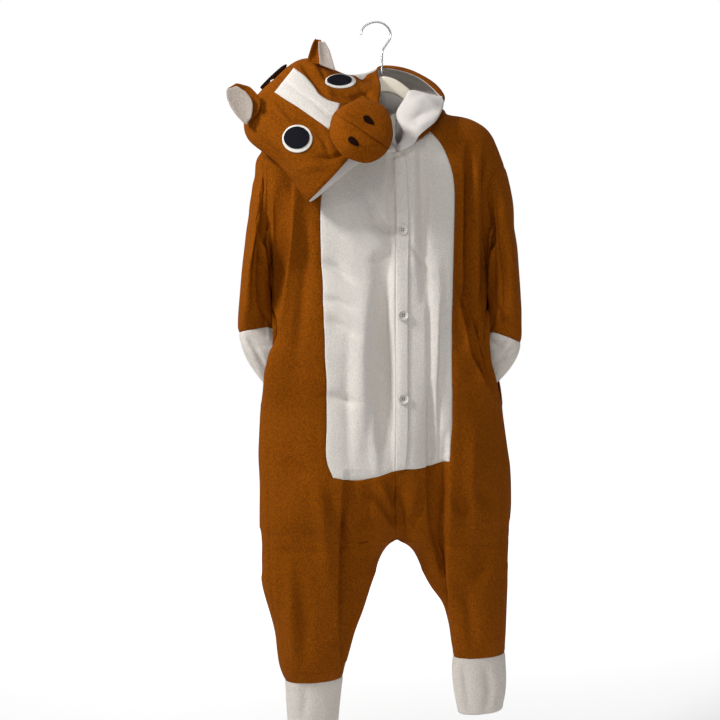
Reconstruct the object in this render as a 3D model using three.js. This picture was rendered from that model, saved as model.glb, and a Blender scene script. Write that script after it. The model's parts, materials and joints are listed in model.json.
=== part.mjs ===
// Horse bodysuit costume on a hanger. Millimetres, +Z up, origin where the hook hangs.
// Left and right in piece names are the wearer's; tables with _L hold the side at -X, _R at +X.
import * as THREE from "three";

const FLEECE = 2; // thickness of the brown and white fleece
const LINING = 1.2; // thickness of the hood's lining
const SEAM = 0.2;
const HOOD_SEAM = 0.4;
const LINING_SEAM = 0.3;
const HOOD_FLEECE = 1.5;
const LINING_GAP = 0.35;
const TURN = 0.2; // the costume hangs turned: depth gained per millimetre to +X
const EYE = { x: -28.8, z: -540, distance: 1450 }; // outlines are measured from this point
const ROUND = 2.4; // squareness of a body section, 2 is an ellipse
const ROLL = 38; // height over which the cloth rolls from the shoulder line to full depth
const CHEST_ROWS = 8; // rows between the shoulder line and the underarm
const BELLY_COLUMNS = [0, 0.217, 0.42, 0.62, 0.81, 1]; // share from centre to belly edge
const STRIP_COLUMNS = 6; // columns between the belly edge and the side
const SHOULDER_COLUMNS = 4; // of those, columns under the shoulder seam
const BACK_COLUMNS = 6;
const CROTCH = { hip: -668, bottom: -829.6 };
const POCKET = { top: -448, bottom: -606, front: 46, back: 34 };
const SLEEVE_ROUND = 3;
const TUCK = 0.25; // the sleeve's inner side leans behind the body by this much of its depth
const MANE = { height: 7, half: 2 };
const PLACKET_ROW = 2; // first chest row of the placket
const HANGER_HALF = 5.5;
const WIRE = 1.6; // radius of the hook's wire

const TORSO = [
  [-396, -176, -90.4, 28.8, 121.6, 178.4, 74, 46],
  [-424.8, -176.6, -88, 28.8, 120.8, 176.8, 75, 46], [-450.4, -174.7, -88, 28.8, 120, 176, 76, 46],
  [-472.8, -169.6, -86.4, 28.8, 120, 173.6, 76, 46],
  [-488.8, -165.6, -86.4, 28.8, 120, 173.6, 76, 46], [-508, -168, -84.8, 28.8, 120, 176, 76, 47],
  [-530.4, -174.4, -84.8, 28.8, 119.2, 182.4, 77, 48],
  [-552.8, -180.8, -83.2, 28.8, 119.2, 188.8, 77, 49],
  [-572, -183.2, -81.6, 28.8, 119.2, 193.6, 78, 50],
  [-591.2, -184.8, -81.6, 28.8, 120, 196.8, 78, 51],
  [-616.8, -189.6, -81.6, 28.8, 120, 199.2, 79, 52],
  [-648.8, -191.2, -81.6, 28.8, 120, 203.2, 80, 53],
  [-680.8, -192.8, -83.2, 28.8, 116.8, 207.2, 80, 54],
  [-703.2, -192, -78.4, 28.8, 116, 210.4, 80, 54],
  [-717.6, -191.2, -71.2, 28.8, 114.4, 212, 80, 54],
  [-738.4, -190.4, -70.4, 29.6, 116.8, 212.8, 79, 54],
  [-760.8, -190.4, -72.8, 29.6, 118.4, 212.8, 77, 54],
  [-781.6, -190.4, -76, 30.4, 121.6, 212.8, 74, 53],
  [-799.2, -190.4, -77.6, 30.4, 123.2, 211.2, 70, 52],
  [-813.6, -189.6, -79.2, 30.4, 124.8, 211.2, 66.5, 51],
  [-823.2, -188.8, -80, 30.4, 124.8, 211.2, 64, 50],
  [-828, -188.8, -80.8, 30.4, 125.6, 210.4, 62, 50],
  [-829.6, -188.8, -80.8, 30.4, 125.6, 210.4, 61, 50],
];
const LEG_L = [
  [-829.6, -188.8, -80.8, 30.4, 61, 50], [-832.8, -188.8, -81.6, 24, 60, 49],
  [-839.2, -188.8, -83.2, 16.8, 60, 49], [-850.4, -188.8, -84.8, 8, 59, 48],
  [-869.6, -188, -88, 0.8, 57, 47], [-892, -185.6, -91.2, -8, 55, 46],
  [-917.6, -178.4, -93.6, -16.8, 53, 44], [-943.2, -170.4, -95.2, -25.6, 51, 42],
  [-968.8, -164.8, -97.6, -36, 49, 40], [-994.4, -161.6, -99.2, -43.2, 47, 39],
  [-1016.8, -158.4, -100.8, -49.6, 43, 36], [-1034.4, -153.6, -101.6, -53.6, 37, 32],
  [-1047.2, -149.6, -101.6, -55.2, 32, 29],
];
const CUFF_L = [
  [-1047.2, -149.6, -101.6, -55.2, 32, 29], [-1064.8, -147.2, -102.4, -57.6, 31, 29],
  [-1087.2, -145.6, -103.2, -60.8, 31, 29], [-1112.8, -143.2, -103.2, -63.2, 31, 29],
  [-1136.8, -140.8, -102.4, -64, 30, 28],
];
const LEG_R = [
  [-829.6, 210.4, 125.6, 30.4, 61, 50], [-832.8, 210.4, 126.4, 38.4, 60, 49],
  [-839.2, 210.4, 128, 48.8, 60, 49], [-848.8, 209.6, 131.2, 56, 59, 48],
  [-864.8, 208.8, 136, 64, 57, 47], [-884, 207.2, 140.8, 73.6, 55, 46],
  [-904.8, 207.2, 147.2, 84.8, 53, 44], [-927.2, 206.4, 153.6, 101.6, 51, 42],
  [-949.6, 205.6, 156.8, 108.8, 49, 40], [-972, 204.8, 159.2, 113.6, 47, 39],
  [-991.2, 204, 160, 116, 43, 36], [-1005.6, 203.2, 160.8, 118.4, 37, 32],
  [-1018.4, 203.2, 161.6, 119.2, 32, 29],
];
const CUFF_R = [
  [-1018.4, 203.2, 161.6, 119.2, 32, 29], [-1036, 204, 160.8, 117.6, 31, 29],
  [-1058.4, 204.8, 160.8, 118.4, 31, 29], [-1084, 204, 161.6, 121.6, 31, 29],
  [-1109.6, 199.2, 161.6, 127.2, 29, 27],
];
const NECK_R = [
  [28.8, -218.1], [48.8, -210.2], [65.6, -197.8], [83.2, -183], [96, -161.8], [110.4, -138.8],
];
const NECK_L = [
  [28.8, -218.1], [14.4, -211.1], [0, -199.5], [-16, -181.9], [-32, -149.9], [-48, -114],
];
const SHOULDER_R = [
  [110.4, -138.8], [124.8, -138.8], [140.8, -143.6], [160, -149.2], [174.4, -158.2],
  [184.8, -169.2], [193.6, -186.8], [200, -203], [206.4, -220.8],
];
const SHOULDER_L = [
  [-48, -114], [-68.8, -124.8], [-96, -139], [-124.8, -152.4], [-148.8, -165.4], [-168, -180.5],
  [-180.8, -195.2], [-188.8, -205.7], [-192, -216],
];
const ARMHOLE_R = [
  [206.4, -220.8, 0], [198.4, -226, 14], [188.8, -236.3, 26], [182.4, -251.3, 34],
  [180, -277.6, 40], [179.2, -313.7, 42], [179.2, -356.4, 32], [178.4, -392.5, 0],
];
const ARMHOLE_L = [
  [-192, -216, 0], [-186.7, -222.8, 13], [-181.6, -234.3, 25], [-178.4, -251.3, 34],
  [-177.6, -277.8, 40], [-177.6, -318.4, 42], [-177.6, -362.1, 32], [-176, -399.5, 0],
];
const BELLY_R = [
  [83.2, -184], [100.8, -201.7], [110.4, -219.9], [116.8, -238.3], [121.6, -256.8],
  [124.8, -278.4], [124.8, -312.7], [124, -353.2], [121.6, -399.9],
];
const BELLY_L = [
  [-16, -183], [-40, -202.4], [-57.6, -223], [-70.4, -244.8], [-81.6, -264.9], [-89.6, -286.4],
  [-92.8, -319.7], [-92, -358.9], [-90.4, -404.2],
];
const BACKNECK = [
  [110.4, -130.6], [83.2, -147], [33.6, -169.2], [-16, -158.7], [-48, -105.2],
];
const RIDGE = [
  [-195.2, -219.3], [-188.8, -205], [-180.8, -193.7], [-168, -179], [-148.8, -163.9],
  [-124.8, -150.8], [-96, -137.4], [-68.8, -123.2], [-48, -112.4], [-16, -109], [9.6, -105.8],
  [35.2, -105.9], [59.2, -112.5], [83.2, -122.5], [110.4, -137.2], [124.8, -137.2], [140.8, -142],
  [160, -147.5], [174.4, -156.6], [184.8, -167.5], [193.6, -185.2], [200, -201.3], [209.6, -227.2],
];
const DEPTH = [
  [-108, 30, 40], [-144.8, 38, 42], [-172, 52, 44], [-205.6, 61, 46], [-252, 67, 46],
  [-316, 71, 46], [-396, 74, 46],
];
const SIDE_R = [
  [-102.1, 99.2], [-136.1, 129.6], [-149.1, 161.6], [-158.1, 176], [-169.1, 186.4], [-186.7, 196],
  [-202.8, 203.2], [-220.7, 208], [-227.6, 200], [-237.9, 190.4], [-251.3, 184], [-277.6, 180.8],
  [-313.7, 180], [-356.4, 179.2], [-392.5, 178.4],
];
const SIDE_L = [
  [-110.7, -44.8], [-124.9, -70.4], [-139.1, -97.6], [-152.5, -126.4], [-165.5, -150.4],
  [-180.6, -169.6], [-195.3, -182.4], [-205.8, -190.4], [-216.2, -195.2], [-222.2, -190.4],
  [-232.8, -184], [-248.2, -179.2], [-277.8, -178.4], [-318.4, -177.6], [-362.1, -177.6],
  [-399.5, -176],
];
const SLEEVE_R = [
  [206.4, -229.6, 178.4, -396, 0, 40], [211.2, -247.2, 182.4, -404, 0, 45],
  [216, -271.2, 182.1, -410.4, 0, 49], [219.7, -303.2, 181.6, -416.8, -1, 51],
  [222.7, -338.4, 181.3, -423.2, -2, 51], [225.3, -373.6, 181.3, -429.6, -3, 50],
  [227.5, -407.2, 182.1, -439.2, -4, 48], [229.3, -437.6, 183.2, -452, -5, 44],
  [230.4, -464.8, 181.6, -466.4, -6, 39], [230.4, -490.4, 179.2, -480.8, -7, 29],
  [228.8, -511.2, 172, -492, -7, 23],
];
const ARMCUFF_R = [
  [228.8, -511.2, 172, -492, -7, 23], [224.8, -530.4, 163.2, -509.6, -7, 21],
  [214.4, -549.6, 150.4, -527.2, -7, 20], [200, -567.2, 136, -546.4, -5, 17],
  [185.6, -583.2, 121.6, -565.6, -4, 14],
];
const SLEEVE_L = [
  [-192, -207.2, -176, -396, 0, 40], [-199.2, -226.4, -180.8, -404, 0, 45],
  [-204, -255.2, -180.8, -410.4, 0, 49], [-208, -287.2, -180.3, -416.8, -1, 51],
  [-211.2, -325.6, -180, -421.6, -2, 51], [-214.4, -364, -180, -428, -3, 50],
  [-217.6, -399.2, -179.2, -439.2, -4, 48], [-220.3, -432.8, -177.6, -453.6, -5, 44],
  [-222.7, -460, -173.6, -468, -6, 39], [-223.5, -480.8, -166.4, -479.2, -7, 29],
  [-222.4, -496.8, -159.2, -488.8, -7, 23],
];
const ARMCUFF_L = [
  [-222.4, -496.8, -159.2, -488.8, -7, 23], [-216.8, -519.2, -152, -508, -7, 21],
  [-208, -541.6, -140.8, -527.2, -7, 20], [-194.4, -562.4, -128, -546.4, -5, 17],
  [-179.2, -581.6, -115.2, -567.2, -4, 14],
];
const HEM_L = [
  [0, 9.3], [0.25, 3.2], [0.5, -2.8], [0.75, -5.1], [1, 1.7],
];
const HEM_R = [
  [0, 9.3], [0.25, 11.6], [0.5, 10.8], [0.75, 16.9], [1, 23],
];
const FOLDS = [
  [9, 8, [[126.4, -457.3], [137.6, -517], [153.6, -556.8], [171.2, -589]]],
  [-6, 5.6, [[136, -448.1], [147.2, -501.7], [161.6, -543.1], [176, -579.8]]],
  [9, 7.2, [[147.2, -442], [155.2, -495.6], [166.4, -529.3], [179.2, -570.6]]],
  [8, 6.4, [[163.2, -218.4], [164, -294.9], [163.2, -371.5], [158.4, -432.8]]],
  [-5, 4.8, [[172.8, -218.4], [172.8, -294.9], [171.2, -386.8]]],
  [6, 8, [[78.4, -210.7], [78.4, -279.6], [76.8, -356.2]]],
  [5, 5.6, [[56, -226], [56, -294.9], [52.8, -371.5]]],
  [8, 8, [[81.6, -578.3], [83.2, -647.2], [84.8, -696.2], [88, -754.4], [84.8, -800.4], [78.4, -846.3]]],
  [-7, 9.6, [[115.2, -680.9], [112, -754.4], [110.4, -798.8], [108.8, -846.3], [110.4, -898.4], [123.2, -968.8]]],
  [7, 9.6, [[134.4, -754.4], [147.2, -800.4], [160, -854]]],
  [-7, 9.6, [[-35.2, -762.1], [-54.4, -823.3], [-57.6, -907.6], [-59.2, -991.8]]],
  [8, 9.6, [[-19.2, -762.1], [-25.6, -815.7], [-35.2, -892.3], [-44.8, -961.2]]],
  [-8, 8, [[-140.8, -287.3], [-140.8, -371.5], [-147.2, -448.1], [-155.2, -486.4]]],
  [8, 8, [[-161.6, -264.3], [-161.6, -371.5], [-164.8, -448.1]]],
  [5, 11.2, [[-9.6, -509.4], [0, -601.3], [-3.2, -696.2]]],
  [-4, 12.8, [[-41.6, -448.1], [-35.2, -570.6], [-41.6, -685.5]]],
  [4, 6.4, [[-76.8, -379.2], [-52.8, -425.1], [-25.6, -448.1]]],
  [4, 6.4, [[-124.8, -494.1], [-140.8, -601.3], [-145.6, -708.5]]],
  [5, 8, [[43.2, -723.8], [32, -754.4], [24, -792.7]]],
  [5, 8, [[-152, -708.5], [-144, -785.1], [-131.2, -907.6]]],
];
const FLAP = [
  [0, -72.8, 12, -113.6, -288.8, -100, 66, -31, 30.4, -12.8, 0.4],
  [-20.8, -80, -12, -131.2, -265.6, -100, 62, -21, 20.8, -9.6, 0.41],
  [-46.4, -82.4, -26, -152, -237.6, -98, 58, -6, 12.8, -6.4, 0.4],
  [-72, -72, -36, -172.8, -216.8, -96, 52, 5, 6.4, -3.2, 0.36],
  [-99.2, -58.4, -42, -195.2, -200.8, -90, 46, 14, 1.6, -1.6, 0.337],
  [-124.8, -58.4, -48, -210.4, -184.8, -84, 40, 15, 0, 0, 0.28],
  [-147.2, -72.8, -52, -215.7, -160.8, -78, 32, 13, -1.6, 1.6, 0.16],
  [-164.8, -90.4, -56, -208, -135.2, -72, 20, 8, -1.6, 1.6, 0.05],
];
const CROWN = [-185.6, -109.6, -66];
const RIBS = [

  [0.15, 1, [30.1, -201.6, 0], [31.4, -198.1, -2], [33.6, -197.3, -6], [35.2, -200, -8], [36.2, -203.7, -9]],
  [1.3, 1, [42.4, -193.6, 0], [41, -186.7, -1], [42.9, -185.8, -7], [48, -190.1, -10], [53.6, -195.2, -10]],
  [2.6, 1, [49.6, -181.6, 0], [41.9, -169.6, 0], [43.8, -168.5, -8], [56, -173.6, -12], [68.8, -178.4, -11]],
  [4.2, 1, [51.2, -164, 3], [30.7, -149.6, 3], [32.6, -148, -6], [58.4, -156.8, -13], [84.8, -165.6, -13]],
  [5.5, 1, [68.8, -144.8, 4], [46.9, -126.4, 6], [48.8, -125, -4], [72.8, -139.2, -13], [96.8, -152.8, -14]],
  [6.3, 1, [78.4, -130.4, 4], [54.4, -111.8, 6], [56, -110.2, -4], [79.2, -125.6, -14], [101.9, -140.8, -16]],
  [7, 0, [97.6, -132, 14], [81.6, -119.7, 6], [83.2, -118.2, -5], [96, -123.7, -9], [104.3, -129.6, -9]],
  [7.2, 0, [100.8, -132.8, 27], [97.6, -124, 18], [98.4, -120, 9], [100.8, -120.5, 3], [102.4, -122.9, -3]],
  [7.4, 0, [104, -133.6, 38], [108, -124.8, 30], [107.7, -119.2, 20], [104.8, -116.5, 10], [99.7, -116, 2]],
  [7.85, 0, [92.8, -128.8, 50], [98.4, -111.2, 42], [97.6, -102.9, 31], [93.6, -99.7, 20], [85.8, -102.2, 11]],
  [8.35, 0, [72, -122.4, 54], [76.8, -101.6, 48], [78.4, -90.4, 37], [75.2, -85.9, 25], [68.8, -88.8, 15]],
  [8.83, 0, [49.6, -119.2, 56], [52.8, -96.8, 50], [52.8, -81.6, 40], [50.4, -74.4, 28], [46.4, -78.9, 17]],
  [9.23, 0, [28.8, -117.6, 55], [28.8, -93.6, 49], [28, -76.8, 39], [27.2, -69.3, 27], [27.2, -74.1, 16]],
  [9.5, 0, [11.2, -117.6, 51], [8, -93.6, 46], [4.8, -76.8, 37], [1.6, -69.3, 25], [0, -72.8, 12]],
];
const OVER = [
  [9.65, [3.2, -122.4, 46], [1.1, -98.4, 41], [0, -84.5, 31], [-2.7, -78.9, 16]],
  [9.9, [-6.4, -122.4, 39], [-7.2, -100, 34], [-6.9, -88.8, 22], [-7.4, -85, 9]],
  [10.2, [-17.6, -120.8, 30], [-16, -102.4, 24], [-13.1, -92.3, 13], [-11.8, -90.9, 2]],
  [10.6, [-30.4, -112.8, 22], [-24, -101.6, 13], [-17.9, -95.5, 3], [-16.3, -97.6, -6]],
  [11, [-44, -104, -10], [-36.8, -102.1, -10.5], [-28.3, -104, -13], [-23.2, -108.8, -16.5]],
];
const UNDER = [11.4, 11.85, 12.35, 12.9, 13.6, 14.4, 15.2];
const LAP = [
  [15.9, -81.6, -268.8], [16.6, -57.6, -240.8], [17.3, -32, -214.4], [17.85, 24, -206.1],
];
const BLAZE = [
  [-134.4, -74.4, -164.8, -112.8], [-116.8, -87.2, -145.6, -125.6], [-104, -101.6, -124.8, -138.4],
  [-95.2, -116, -107.2, -151.2], [-81.6, -125.6, -91.2, -162.4], [-60.8, -131.2, -78.4, -172],
];
const HOOK = [
  [-27.2, -19.2], [-25.6, -12], [-17.6, -3.2], [-3.2, 1], [9.6, -2.4], [19.2, -13.6],
  [19.2, -25.6], [12.8, -36], [7.2, -45.6], [6.4, -60], [6.4, -82.4],
];
const HANGER_R = [
  [6.4, -84.8, -111.2], [27.2, -90.4, -114.4], [48, -104.8, -130.4], [75.2, -128.8, -154.4],
  [110.4, -154.4, -176.8], [139.2, -160.8, -181.6], [160, -168.8, -188], [176, -181.6, -194.4],
];
const HANGER_L = [
  [6.4, -85.6, -111.2], [-3.2, -94.4, -117.6], [-14.4, -104.8, -127.2], [-35.2, -119.2, -143.2],
  [-60.8, -135.2, -159.2], [-89.6, -145.6, -168.8], [-124.8, -158.4, -179.2],
  [-148.8, -172, -189.6], [-163.2, -185.6, -200],
];
const EAR1W = [
  [-211.2, -162.4, -203.2, -149.6], [-225.6, -147.2, -201.6, -138.4],
  [-236.8, -130.4, -201.6, -127.2], [-241.6, -116, -210.4, -112.8],
  [-241.6, -107.2, -225.6, -102.4],
];
const EAR1B = [
  [-211.2, -162.4, -193.6, -144.8], [-225.6, -147.2, -188, -130.4], [-236.8, -130.4, -193.6, -116],
  [-241.6, -116, -206.4, -103.2], [-240.8, -106.4, -225.6, -97.6],
];
const EAR2W = [
  [-92.8, -66.4, -68.8, -76], [-93.6, -52, -74.4, -56.8], [-94.4, -39.2, -79.2, -42.4],
  [-94.4, -30.4, -85.6, -31.2],
];
const EAR2B = [
  [-113.6, -63.2, -89.6, -66.4], [-108, -47.2, -91.2, -52], [-104, -34.4, -92.8, -37.6],
  [-100, -27.2, -92, -28],
];
const FACE_CREASES = [
  [-91.2, -95.2, 19.200000000000003, 8, -0.7, 6], [-108.8, -172, 32, 9.600000000000001, -0.9, 5],
  [-176, -135.2, 16, 8, 0.2, 4], [-84.8, -228, 28.8, 9.600000000000001, -0.9, 5],
  [-19.2, -116, 28.8, 8, 1.4, 5], [-148.8, -148, 22.400000000000002, 9.600000000000001, 0.5, -3],
];
const EYES = [
  [-128.8, -186.4, 24, 22.1, -129.6, -185.1, 20.2, 17.3],
  [-60.2, -94.9, 24.8, 11.5, -62.4, -94.2, 20.2, 8.6],
];
const MUZZLE_MIDDLE = [-26.4, -176];
const MUZZLE_RADII = [49.6, 49.6, 48, 48.8, 52.8, 49.6, 45.6, 44.8, 48.8, 49.6];
const MUZZLE_SEAM = [0.83, -0.558];
const MUZZLE_HEIGHT = 26;
const NOSTRILS = [
  [-15, -157], [-38.7, -190.6],
];
const BUTTONS = [
  [38.9, -332], [39.7, -468.5], [40, -602.4],
];
const BUTTON_PROFILE = [
  [0.8, 2.2], [3.8, 2.2], [5, 3.2], [6.9, 3.2], [7.9, 2.3], [7.9, 1], [0.8, 1],
];
const POUCH = [
  [4.5, -527, 69, 40, 28], [18, -529, 68, 42, 30], [38, -535, 62, 42, 30], [64, -541, 54, 38, 28],
  [86, -546, 42, 28, 18],
];

// ---- small helpers ----
const lerp = (a, b, t) => a + (b - a) * t;
const clamp = (v, lo, hi) => Math.min(hi, Math.max(lo, v));
const add = (a, b, k = 1) => [a[0] + b[0] * k, a[1] + b[1] * k, a[2] + b[2] * k];
const sub = (a, b) => add(a, b, -1);
const cross = (a, b) => [
  a[1] * b[2] - a[2] * b[1],
  a[2] * b[0] - a[0] * b[2],
  a[0] * b[1] - a[1] * b[0],
];
const dot = (a, b) => a[0] * b[0] + a[1] * b[1] + a[2] * b[2];
const unit = (a) => {
  const size = Math.hypot(...a) || 1;
  return [a[0] / size, a[1] / size, a[2] / size];
};
const mix = (a, b, t) => a.map((v, i) => lerp(v, b[i], t));
const power = (v, e) => Math.sign(v) * Math.abs(v) ** e;

// A row of a table at a value of its column `by`, in between rows by straight line.
function row(table, by, value) {
  const down = table[0][by] > table[table.length - 1][by];
  const inside = (r) => (down ? r[by] <= value : r[by] >= value);
  let i = table.findIndex(inside);
  if (i < 0) return table[table.length - 1];
  if (i === 0) return table[0];
  const a = table[i - 1];
  const b = table[i];
  return mix(a, b, (value - a[by]) / (b[by] - a[by]));
}

// The point at a share of the length of a polyline; the length counts x and z (first two).
function along(line, share) {
  const steps = line.slice(1).map((p, i) => Math.hypot(p[0] - line[i][0], p[1] - line[i][1]));
  let rest = share * steps.reduce((a, b) => a + b, 0);
  for (let i = 0; i < steps.length; i++) {
    if (rest <= steps[i] || i === steps.length - 1) {
      return mix(line[i], line[i + 1], clamp(rest / steps[i], 0, 1));
    }
    rest -= steps[i];
  }
  return line[line.length - 1];
}

// Where a point measured from the eye really is, once its depth is known.
const nearer = (y) => (EYE.distance + y) / EYE.distance;
const seenX = (x, y) => EYE.x + (x - EYE.x) * nearer(y);
const seen = (x, z, y) => [seenX(x, y), y, EYE.z + (z - EYE.z) * nearer(y)];

// ---- connected cloth: shared points, quads that belong to a piece ----
function cloth() {
  const points = [];
  const keys = new Map();
  const faces = [];
  return {
    points,
    faces,
    point(key, make) {
      if (key === null || !keys.has(key)) {
        points.push(make());
        if (key === null) return points.length - 1;
        keys.set(key, points.length - 1);
      }
      return keys.get(key);
    },
    grid(ids, piece, flip = false) {
      for (let r = 0; r + 1 < ids.length; r++) {
        for (let c = 0; c + 1 < ids[r].length; c++) {
          let quad = [ids[r][c], ids[r + 1][c], ids[r + 1][c + 1], ids[r][c + 1]];
          quad = quad.filter((id, i) => id !== quad[(i + 1) % 4]);
          if (quad.length < 3) continue;
          if (flip) quad.reverse();
          faces.push({ piece: typeof piece === "string" ? piece : piece(r, c), quad });
        }
      }
    },
  };
}

const faceNormal = (points, f) => {
  const p = f.map((id) => points[id]);
  return p.length === 3
    ? cross(sub(p[1], p[0]), sub(p[2], p[0]))
    : cross(sub(p[2], p[0]), sub(p[3], p[1]));
};

// Normals at the points; where pieces meet, each piece counts the same. Under an arm, where sleeve
// and body face each other, own(piece) keeps the normal of the sleeve or of the body.
function vertexNormals(points, faces) {
  const parts = points.map(() => new Map());
  for (const { quad, piece } of faces) {
    const n = unit(faceNormal(points, quad));
    quad.forEach((id, i) => {
      const before = sub(points[quad[(i + quad.length - 1) % quad.length]], points[id]);
      const after = sub(points[quad[(i + 1) % quad.length]], points[id]);
      const angle = Math.acos(clamp(dot(unit(before), unit(after)), -1, 1));
      parts[id].set(piece, add(parts[id].get(piece) || [0, 0, 0], n, angle));
    });
  }
  const sum = (list) => unit(list.reduce((s, n) => add(s, unit(n)), [0, 0, 0]));
  const normals = parts.map((part) => sum([...part.values()]));
  const isSleeve = (piece) => piece.startsWith("sleeve_");
  normals.own = (piece) =>
    normals.map((n, id) => {
      const entries = [...parts[id]];
      const mine = entries.filter(([p]) => isSleeve(p) === isSleeve(piece)).map(([, v]) => v);
      const other = entries.filter(([p]) => isSleeve(p) !== isSleeve(piece)).map(([, v]) => v);
      if (!mine.length || !other.length) return n;
      return unit(mix(n, sum(mine), clamp(0.4 - dot(sum(mine), sum(other)), 0, 1)));
    });
  return normals;
}

// One closed piece of cloth: its outer face lies `high` above the points, its inner face `low`.
function thicken(points, normals, quads, high, low, inset = SEAM) {
  const ids = [...new Set(quads.flat())];
  const index = new Map(ids.map((id, i) => [id, i]));
  const edges = new Map();
  for (const q of quads) {
    q.forEach((a, i) => edges.set(`${a}>${q[(i + 1) % q.length]}`, q));
  }
  const inward = new Map();
  const rim = [];
  for (const [key, q] of edges) {
    const [a, b] = key.split(">").map(Number);
    if (edges.has(`${b}>${a}`)) continue;
    rim.push([a, b]);
    const dir = unit(cross(faceNormal(points, q), sub(points[b], points[a])));
    for (const id of [a, b]) inward.set(id, [...(inward.get(id) || []), dir]);
  }
  const base = ids.map((id) => {
    const dirs = inward.get(id);
    if (!dirs) return points[id];
    const gap = typeof inset === "function" ? inset(id) : inset;
    const flat = dirs.map((d) => unit(add(d, normals[id], -dot(d, normals[id]))));
    const total = flat.reduce((s, d) => add(s, d), [0, 0, 0]);
    const spread = dirs.length === 2 ? Math.max(0.35, 1 + dot(flat[0], flat[1])) : dirs.length;
    return add(points[id], total, gap / spread);
  });
  const outer = base.map((p, i) => add(p, normals[ids[i]], high));
  const inner = base.map((p, i) => add(p, normals[ids[i]], low));
  const n = ids.length;
  const triangles = [];
  for (const q of quads) {
    const v = q.map((id) => index.get(id));
    for (let i = 1; i + 1 < v.length; i++) {
      triangles.push([v[0], v[i], v[i + 1]]);
      triangles.push([n + v[0], n + v[i + 1], n + v[i]]);
    }
  }
  for (const [p, q] of rim) {
    const a = index.get(p);
    const b = index.get(q);
    triangles.push([b, a, n + a], [b, n + a, n + b]);
  }
  return { vertices: [...outer, ...inner], triangles, ids };
}

const group = new THREE.Group();
const COLOURS = {
  brown: 0x9a5516,
  white: 0xe6e2dc,
  lining: 0xd5cfcb,
  dark: 0x1d1e24,
  mane: 0x3a2015,
  cream: 0xd8d0be,
  steel: 0xb8b8b4,
  button: 0xe9e6df,
};

function addSolid(name, { vertices, triangles }, colour) {
  const geometry = new THREE.BufferGeometry();
  geometry.setAttribute("position", new THREE.Float32BufferAttribute(vertices.flat(), 3));
  geometry.setIndex(triangles.flat());
  geometry.computeVertexNormals();
  const material = new THREE.MeshStandardMaterial({ color: COLOURS[colour], roughness: 0.9 });
  const mesh = new THREE.Mesh(geometry, material);
  mesh.name = name;
  group.add(mesh);
}

// ---- body surface ----
const shear = (x) => TURN * x;

function folds(x, z) {
  let total = 0;
  for (const [depth, width, line] of FOLDS) {
    let best = Infinity;
    let at = 0;
    for (let i = 0; i + 1 < line.length; i++) {
      const [ax, az] = line[i];
      const [bx, bz] = line[i + 1];
      const size = (bx - ax) ** 2 + (bz - az) ** 2;
      const t = clamp(((x - ax) * (bx - ax) + (z - az) * (bz - az)) / size, 0, 1);
      const d = Math.hypot(x - lerp(ax, bx, t), z - lerp(az, bz, t));
      if (d < best) {
        best = d;
        at = (i + t) / (line.length - 1);
      }
    }
    const fade = Math.min(1, 4 * at + 0.2, 4 * (1 - at) + 0.2);
    total += depth * fade * Math.exp(-((best / width) ** 2));
  }
  return total;
}

const bump = (z, top, bottom) => {
  if (z >= top || z <= bottom) return 0;
  return Math.sqrt(Math.sin((Math.PI * (top - z)) / (top - bottom)));
};

const SIDES = [
  {
    name: "right",
    way: -1,
    edge: 1,
    belly: 2,
    side: SIDE_L,
    armhole: ARMHOLE_L,
    bellyTop: BELLY_L,
    neck: NECK_L,
    shoulder: SHOULDER_L,
    leg: LEG_L,
    cuff: CUFF_L,
    hem: HEM_L,
    sleeve: SLEEVE_L,
    armCuff: ARMCUFF_L,
  },
  {
    name: "left",
    way: 1,
    edge: 5,
    belly: 4,
    side: SIDE_R,
    armhole: ARMHOLE_R,
    bellyTop: BELLY_R,
    neck: NECK_R,
    shoulder: SHOULDER_R,
    leg: LEG_R,
    cuff: CUFF_R,
    hem: HEM_R,
    sleeve: SLEEVE_R,
    armCuff: ARMCUFF_R,
  },
];
const CENTRE = TORSO[0][3];

// Chest above the underarm: depth at a point of the front (back = 1) seen at x, z.
function chestDepth(s, x, z, back) {
  const sideX = row(s.side, 0, z)[1];
  const depth = row(DEPTH, 0, z)[back ? 2 : 1];
  const hole = z > s.armhole[0][1] ? 0 : row(s.armhole, 1, z)[2];
  const u = clamp((x - CENTRE) / (sideX - CENTRE), 0, 1);
  const base = (1 - u ** ROUND) ** (1 / ROUND);
  const drop = clamp((row(RIDGE, 0, x)[1] - z) / ROLL, 0, 1);
  const roll = Math.sqrt(1 - (1 - drop) ** 2);
  const d = (Math.min(hole, depth) + (depth - Math.min(hole, depth)) * base) * roll;
  if (back) return shear(x) + d;
  return shear(x) - d + folds(x, z) * (1 - u ** 8) * roll;
}

// Section of one half below the underarm, as distances from the centre line.
function section(s, z, leg) {
  if (leg) {
    const [, outer, belly, inner, front, back] = leg;
    const far = Math.abs(outer - TORSO[TORSO.length - 1][3]);
    const near = (inner - TORSO[TORSO.length - 1][3]) * s.way;
    return {
      centre: TORSO[TORSO.length - 1][3],
      ratio: 1,
      middle: (far + near) / 2,
      half: (far - near) / 2,
      belly: Math.abs(belly - TORSO[TORSO.length - 1][3]),
      front,
      back,
      far,
      near,
    };
  }
  const r = row(TORSO, 0, z);
  const centre = r[3];
  const far = Math.abs(r[s.edge] - centre);
  const q = clamp((CROTCH.hip - z) / (CROTCH.hip - CROTCH.bottom), 0, 1);
  const cut = Math.sqrt(1 - q ** 3);
  const ratio = (1 - cut ** ROUND) ** (1 / ROUND);
  const half = far / (1 + ratio);
  return {
    centre,
    ratio,
    middle: ratio * half,
    half,
    belly: Math.abs(r[s.belly] - centre),
    front: r[6],
    back: r[7],
    far,
    near: 0,
  };
}

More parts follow.
